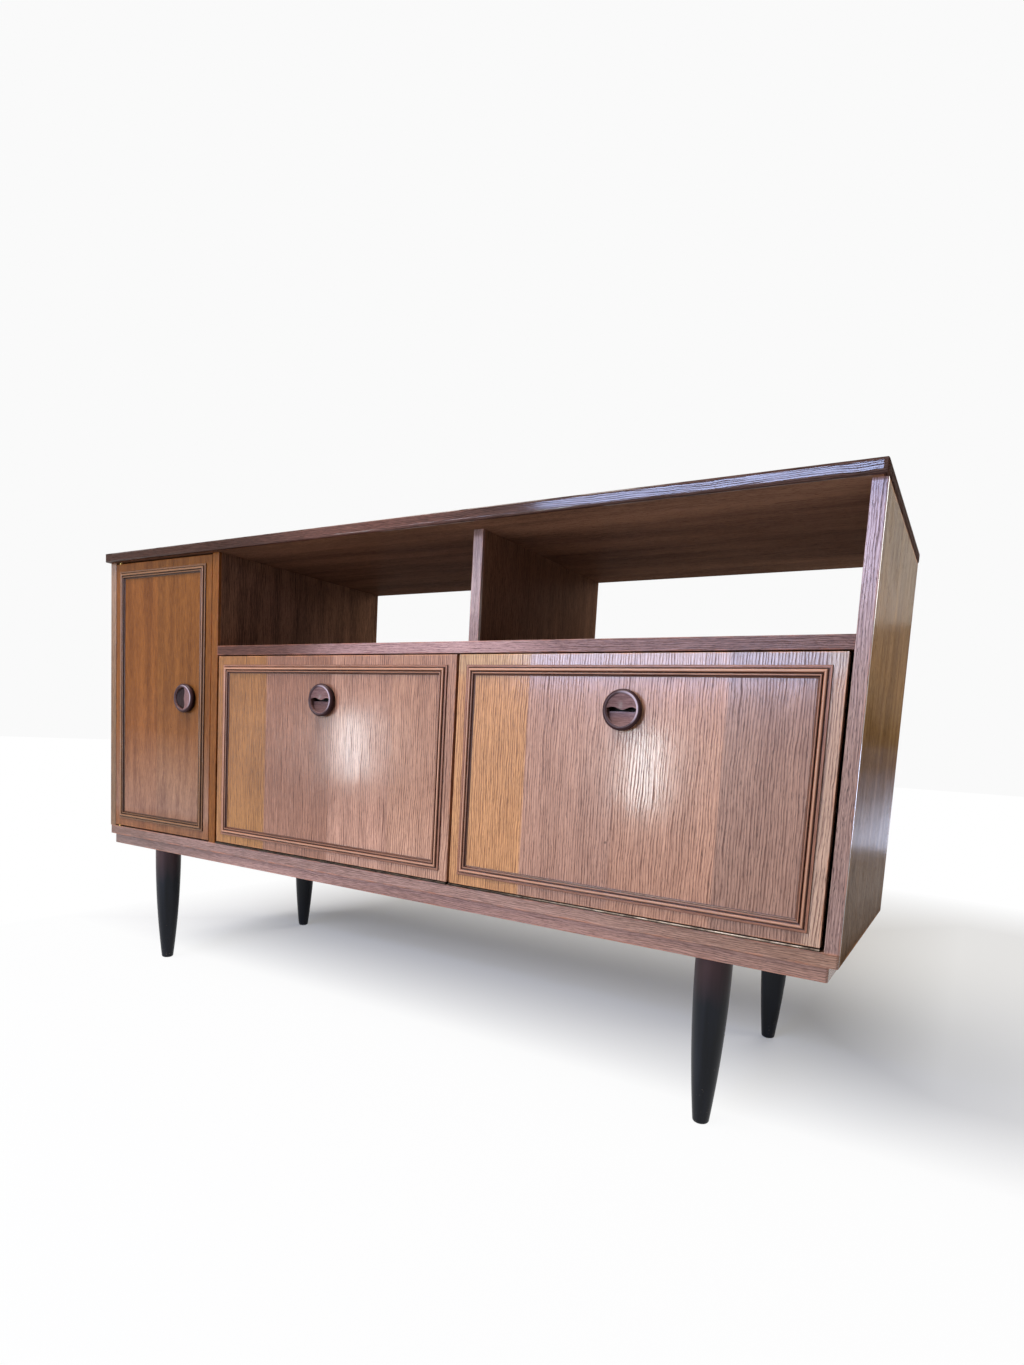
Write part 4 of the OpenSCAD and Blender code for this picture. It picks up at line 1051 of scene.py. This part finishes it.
def level_boards():
    """The top, the shelves and the bottom, whose grain runs from side to side."""
    top_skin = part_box("top_panel")[0].z + VENEER_SKIN
    board("top_panel", LEVEL_BACK, 0.5, "top_veneer", "top veneer", "x", **PLAIN,
          second=("z", top_skin, TOP_OAK), figure=0.6, figure_w=60, sway=30, rings=0.5, streaks=0.4,
          shift=0.11, fade=TOP_PAINTED_LIGHT)
    board("top_front_lipping", "", 0, "lipping_wood", "top lipping", "x", palette=TOP_OAK, ring=2.4,
          wear=0.15, shift=0.2, fade=TOP_EDGE_PAINTED_LIGHT, varnish=POLISHED)
    board("top_end_lippings", "", 0, "lipping_wood", "top end lipping", "y", palette=TOP_OAK, ring=2.4,
          wear=0.3, shift=0.25, varnish=DULL)
    board("middle_shelf", LEVEL_BACK, 0.4, "inner_veneer", "shelf veneer", "x", **INNER, figure=0.5,
          shift=0.31)
    board("middle_shelf_lipping", LEVEL_FRONT, 0.8, "lipping_wood", "shelf lipping", "x", palette=ROSE_OAK,
          ring=2.6, wear=0.4, shift=0.36, fade=SHELF_EDGE_PAINTED_LIGHT, varnish=LOW_SATIN)
    board("bottom_panel", LEVEL_BACK, 0.4, "inner_veneer", "bottom veneer", "x", **INNER, shift=0.41)
    board("bottom_lipping", LEVEL_FRONT, 0.8, "lipping_wood", "bottom lipping", "x", CORNER_REACH,
          palette=RAIL_OAK, wear=0.5, shift=0.47, fade=BOTTOM_EDGE_PAINTED_LIGHT)
    board("cupboard_shelf", ALL_ROUND, 0.8, "inner_veneer", "cupboard shelf veneer", "x", **INNER,
          shift=0.52)


def upright_boards():
    """The sides, the dividers and their lippings, whose grain runs up and down."""
    sides = {"ring": 4.2, "pores": 0.9, "figure": 0.6, "figure_w": 45, "marks": 0.7, "wear": 0.7,
             "wear_w": 5.0, "fade": SIDE_PAINTED_LIGHT, "rubbed": SIDE_RUBBED, "varnish": RUBBED}
    left_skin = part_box("left_side")[0].x + VENEER_SKIN
    right_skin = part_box("right_side")[1].x - VENEER_SKIN
    board("left_side", "x0 x1 y1 z0", 0.6, "side_veneer", "left_side veneer", "z", **sides,
          palette=OLIVE_OAK, second=("x", left_skin, DARK_OAK), shift=0.57)
    board("right_side", "x0 x1 y1 z0", 0.6, "side_veneer", "right_side veneer", "z", **sides,
          palette=DARK_OAK, second=("x", right_skin, OLIVE_OAK), shift=0.61)
    board("side_lippings", UPRIGHT_FRONT, 0.8, "lipping_wood", "side lipping", "z", palette=LEFT_EDGE_OAK,
          second=("x", 0.0, EDGE_OAK), ring=3.6, pores=0.9, wear=0.4, shift=0.66, fade=SIDE_EDGE_PAINTED_SHEEN)
    board("left_divider", UPRIGHT_BACK, 0.4, "inner_veneer", "divider veneer", "z", **PLAIN, figure=0.7,
          shift=0.71)
    board("left_divider_lipping", UPRIGHT_FRONT, 0.8, "lipping_wood", "divider lipping", "z",
          palette=AMBER_OAK, ring=2.6, shift=0.74, varnish=LOW_SATIN)
    board("upper_divider", UPRIGHT_BACK, 0.4, "inner_veneer", "upper divider veneer", "z", **INNER,
          shift=0.77)
    board("upper_divider_lipping", UPRIGHT_FRONT, 0.8, "lipping_wood", "upper divider lipping", "z",
          palette=EDGE_OAK, ring=2.6, shift=0.8)
    board("lower_partition", "x0 x1 y0 y1", 0.6, "inner_veneer", "partition veneer", "z", **INNER,
          shift=0.83)


def plinth_and_backs():
    """The plinth's rails and the boards that close the back."""
    board("plinth_front_rail", "x0 x1 y0 z0 z1", 0.8, "plinth_wood", "plinth wood", "x", CORNER_REACH,
          palette=RAIL_OAK, wear=0.5, shift=0.86, fade=PLINTH_PAINTED_LIGHT)
    board("plinth_back_rail", "x0 x1 y1 z0", 0.8, "plinth_wood", "plinth back wood", "x", **PLAIN,
          shift=0.88)
    short = oak("plinth short rail wood", "plinth_end_rails", "y", **PLAIN, shift=0.9)
    for node in ("plinth_end_rails", "plinth_cross_rail"):
        eased_board(node, "x0 x1 z0", 0.8, "plinth_wood", short)
    fibre = fibre_board("back board", (tone(104, 76, 56), tone(70, 49, 37)))
    for node in ("cupboard_back", "compartment_back"):
        eased_board(node, ALL_ROUND, 0.3, "back_board", fibre)


def fronts():
    """The door and the two flaps with their mouldings and pulls."""
    flaps = {"palette": PINK_OAK, "ring": 4.0, "streaks": 0.35, "figure": 0.2, "varnish": GLOSSY}
    board("left_door", ALL_ROUND, 0.7, "door_veneer", "door veneer", "z", palette=AMBER_OAK,
          leaves=DOOR_LEAVES, pores=0.5, figure=0.55, figure_w=24, sway=24, marks=0.5, shift=0.05,
          fade=DOOR_PAINTED_REFLECTION, varnish=LOW_SATIN)
    board("left_flap", ALL_ROUND, 0.7, "front_veneer", "left flap veneer", "z", **flaps,
          leaves=LEFT_LEAVES, rings=0.88, marks=0.5, shift=0.15, fade=LEFT_FLAP_PAINTED_REFLECTION)
    board("right_flap", ALL_ROUND, 0.7, "front_veneer", "right flap veneer", "z", **flaps,
          leaves=RIGHT_LEAVES, rings=0.82, marks=0.6, shift=0.45, fade=RIGHT_FLAP_PAINTED_SHEEN)
    bead = moulding_oak("flap moulding oak", BEAD_OAK, tone(204, 156, 122))
    moulding("door_moulding", moulding_oak("door moulding oak", DOOR_BEAD_OAK, tone(146, 104, 68)))
    for node in ("left_flap_moulding", "right_flap_moulding"):
        moulding(node, bead)
    wood = pull_wood()
    source = pull_mesh()
    # The last number of each is how dark the pull's open bowl is painted, a painted shade
    for node, front, bowl_shade in (("door_pull", "left_door", 0.85), ("left_flap_pull", "left_flap", 0.4),
                                ("right_flap_pull", "right_flap", 0.1)):
        pull(node, front, source, wood, bowl_shade)


HINGE_Z = 0.2753
PIN_INSET, PIN_PITCH, PIN_HEAD_R, PIN_HEAD_H = 5 * MM, 75 * MM, 2.2 * MM, 0.8 * MM
SCREW_HEAD_H, SCREW_SHANK_R, SCREW_SLOT_W = 1.5 * MM, 1.5 * MM, 0.8 * MM


def solids_of(node):
    """The lowest and highest corners of each solid of a CAD node."""
    bm = cad_solids(node)
    corners = []
    for faces in list(islands(bm)):
        places = [v.co for f in faces for v in f.verts]
        corners.append([Vector(pick(p[i] for p in places) for i in range(3)) for pick in (min, max)])
    bm.free()
    return sorted(corners, key=lambda pair: pair[0].x)


def leaf_screws(material):
    """The hinge leaves' screws, which all point into the wood from the leaf."""
    tree = screw_tree()
    for seed, (node, heads_up) in enumerate((("fixed_leaf_screws", True), ("left_flap_screws", False),
                                             ("right_flap_screws", False))):
        solids = solids_of(node)
        low, high = solids[0]
        points = [((a.x + b.x) / 2, (a.y + b.y) / 2, b.z if heads_up else a.z) for a, b in solids]
        mesh = grown(tree, {
            "Head Radius": (high.x - low.x) / 2, "Head Height": SCREW_HEAD_H,
            "Shank Radius": SCREW_SHANK_R, "Length": high.z - low.z, "Slot Width": SCREW_SLOT_W,
            "Tilt": 0.0 if heads_up else math.pi,
            "Seed": seed, "Material": material,
        }, points)
        piece(node + "_slotted", mesh, node, "hinge_steel")


def back_pins(material):
    """Pins round the back boards."""
    points, lines = [], []
    for node in ("cupboard_back", "compartment_back"):
        low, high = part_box(node)
        first = len(points)
        left, right = low.x + PIN_INSET, high.x - PIN_INSET
        bottom, top = low.z + PIN_INSET, high.z - PIN_INSET
        points += [(x, high.y, z) for x, z in ((left, bottom), (right, bottom), (right, top), (left, top))]
        lines += [(first + i, first + (i + 1) % 4) for i in range(4)]
    mesh = grown(pin_tree(), {"Pitch": PIN_PITCH, "Head Radius": PIN_HEAD_R, "Head Height": PIN_HEAD_H,
                              "Material": material}, points, lines)
    piece("back_board_pins", mesh, "cupboard_back", "hinge_steel", replaces=False)


def fittings():
    """The metal parts, and the screws and pins that are only in this script."""
    hinge = metal("hinge nickel", tone(156, 138, 118), tone(70, 56, 46), 0.4, barrel=HINGE_Z)
    steel = metal("stay steel", tone(200, 198, 192), tone(140, 138, 134), 0.3)
    zinc = metal("catch zinc", tone(178, 180, 182), tone(128, 128, 126), 0.4)
    brass = metal("pivot brass", tone(206, 170, 98), tone(150, 116, 60), 0.3)
    dress(hinge, "left_flap_fixed_leaf", "right_flap_fixed_leaf", "flap_hinge_pins",
          "left_flap_moving_leaf", "right_flap_moving_leaf")
    dress(zinc, "leg_bolts", "leg_inserts")
    leaf_screws(zinc)
    back_pins(zinc)
    dress(steel, "stay_wall_plates", "left_stay_bracket", "right_stay_bracket", "left_stay_arm",
          "right_stay_arm", "left_stay_guide", "right_stay_guide")
    dress(zinc, "flap_catches", "door_catch", "left_flap_strike", "right_flap_strike", "door_strike")
    dress(brass, "shelf_pins", "door_pivot_pins", "door_pivot_sockets")


# Stage

FLOOR_UNSEEN, FLOOR_SEEN = (0.42, 0.42, 0.42, 1.0), (0.58, 0.58, 0.58, 1.0)


def softbox(name, place, size, watts, colour, aim=(0.0, 0.0, 0.5)):
    """A soft lamp at place, turned to the middle of the cabinet or to aim."""
    data = bpy.data.lights.new(name, "AREA")
    data.shape = "RECTANGLE"
    data.size, data.size_y = size
    data.energy = watts
    data.color = colour
    lamp = in_scene(name, data)
    lamp.location = place
    lamp.rotation_euler = (Vector(aim) - Vector(place)).to_track_quat("-Z", "Y").to_euler()
    lamp.visible_camera = False


def make_stage():
    """A pale floor that fades to white, a white surround and soft lamps."""
    bpy.ops.mesh.primitive_plane_add(size=30.0)
    floor = bpy.context.object
    floor.name = "floor"
    material, t, shader = new_material("pale floor", {"Roughness": 0.9, "Specular IOR Level": 0.0})
    x, y, _ = t.split(t.here())
    squeezed = t.join(t.times_plus(x, 0.7, -0.2), t.minus(y, 0.4), 0.0)
    away = t.add("ShaderNodeVectorMath", {0: squeezed}, operation="LENGTH").outputs["Value"]
    in_front = t.times(t.calc("POWER", t.spread(y, 0.42, -0.14), 1.5), 0.94)
    beside = t.most(t.spread(x, -0.6, -1.1), t.spread(x, 0.62, 0.87, 0.0, 0.4))
    pale_share = t.most(t.most(in_front, beside), t.spread(away, 0.9, 1.8))
    seen = t.seen_by("Camera", "Glossy")
    t.feed(shader, {"Base Color": t.blend(seen, FLOOR_UNSEEN, FLOOR_SEEN)})
    white = t.get("ShaderNodeEmission", {"Color": (1.0, 1.0, 1.0, 1.0), "Strength": 1.0})
    principled = material.node_tree.nodes["Principled BSDF"].outputs[0]
    mixed = t.get("ShaderNodeMixShader", {0: t.times(pale_share, seen), 1: principled, 2: white})
    t.feed(material.node_tree.nodes["Material Output"].inputs, {"Surface": mixed})
    floor.data.materials.append(material)

    world = bpy.data.worlds.new("surround")
    world.use_nodes = True
    bpy.context.scene.world = world
    t = Tree(world.node_tree)
    seen = t.seen_by("Camera", "Glossy", "Transmission")
    t.feed(world.node_tree.nodes["Background"].inputs, {
        "Color": tone(250, 250, 250), "Strength": t.spread(seen, 0.0, 1.0, 0.1, 1.0)})

    softbox("key", (-0.8, -1.4, 3.8), (2.4, 2.4), 190.0, (1.0, 0.96, 0.9))
    softbox("left window", (-2.83, -3.2, 0.4), (0.2, 0.44), 13.5, (0.84, 0.95, 1.0))
    softbox("right window", (-0.7, -3.2, 0.38), (0.17, 0.4), 12.0, (0.78, 0.94, 1.0))
    softbox("window top", (-0.65, -3.2, 0.96), (1.7, 0.24), 34.0, (0.5, 0.62, 1.0), (-0.65, 0.0, 0.6))
    softbox("cool sky", (-0.5, -3.3, 1.87), (2.0, 0.16), 38.0, (0.47, 0.6, 1.0), (-0.5, 0.0, 0.84))
    softbox("sky over the bays", (0.1, -3.3, 1.5), (1.0, 0.4), 20.0, (0.62, 0.66, 1.0), (0.1, 0.0, 0.75))
    softbox("sky left of the bays", (-2.0, -3.3, 1.45), (0.6, 0.4), 16.0, (0.9, 0.85, 1.0), (-1.9, 0.0, 0.75))
    softbox("right fill", (3.2, 0.8, 1.5), (1.6, 1.6), 22.0, (1.0, 0.96, 0.9))
    softbox("back fill", (0.6, 3.4, 2.0), (2.4, 1.6), 46.0, (1.0, 0.98, 0.95))
    softbox("low sheen", (1.1, 3.4, 0.3), (0.8, 0.55), 9.0, (0.66, 0.74, 1.0), (0.75, 0.0, 0.4))


make_camera()
level_boards()
upright_boards()
plinth_and_backs()
fronts()
legs(leg_lacquer())
fittings()
make_stage()
bpy.context.scene.view_settings.view_transform = "Standard"
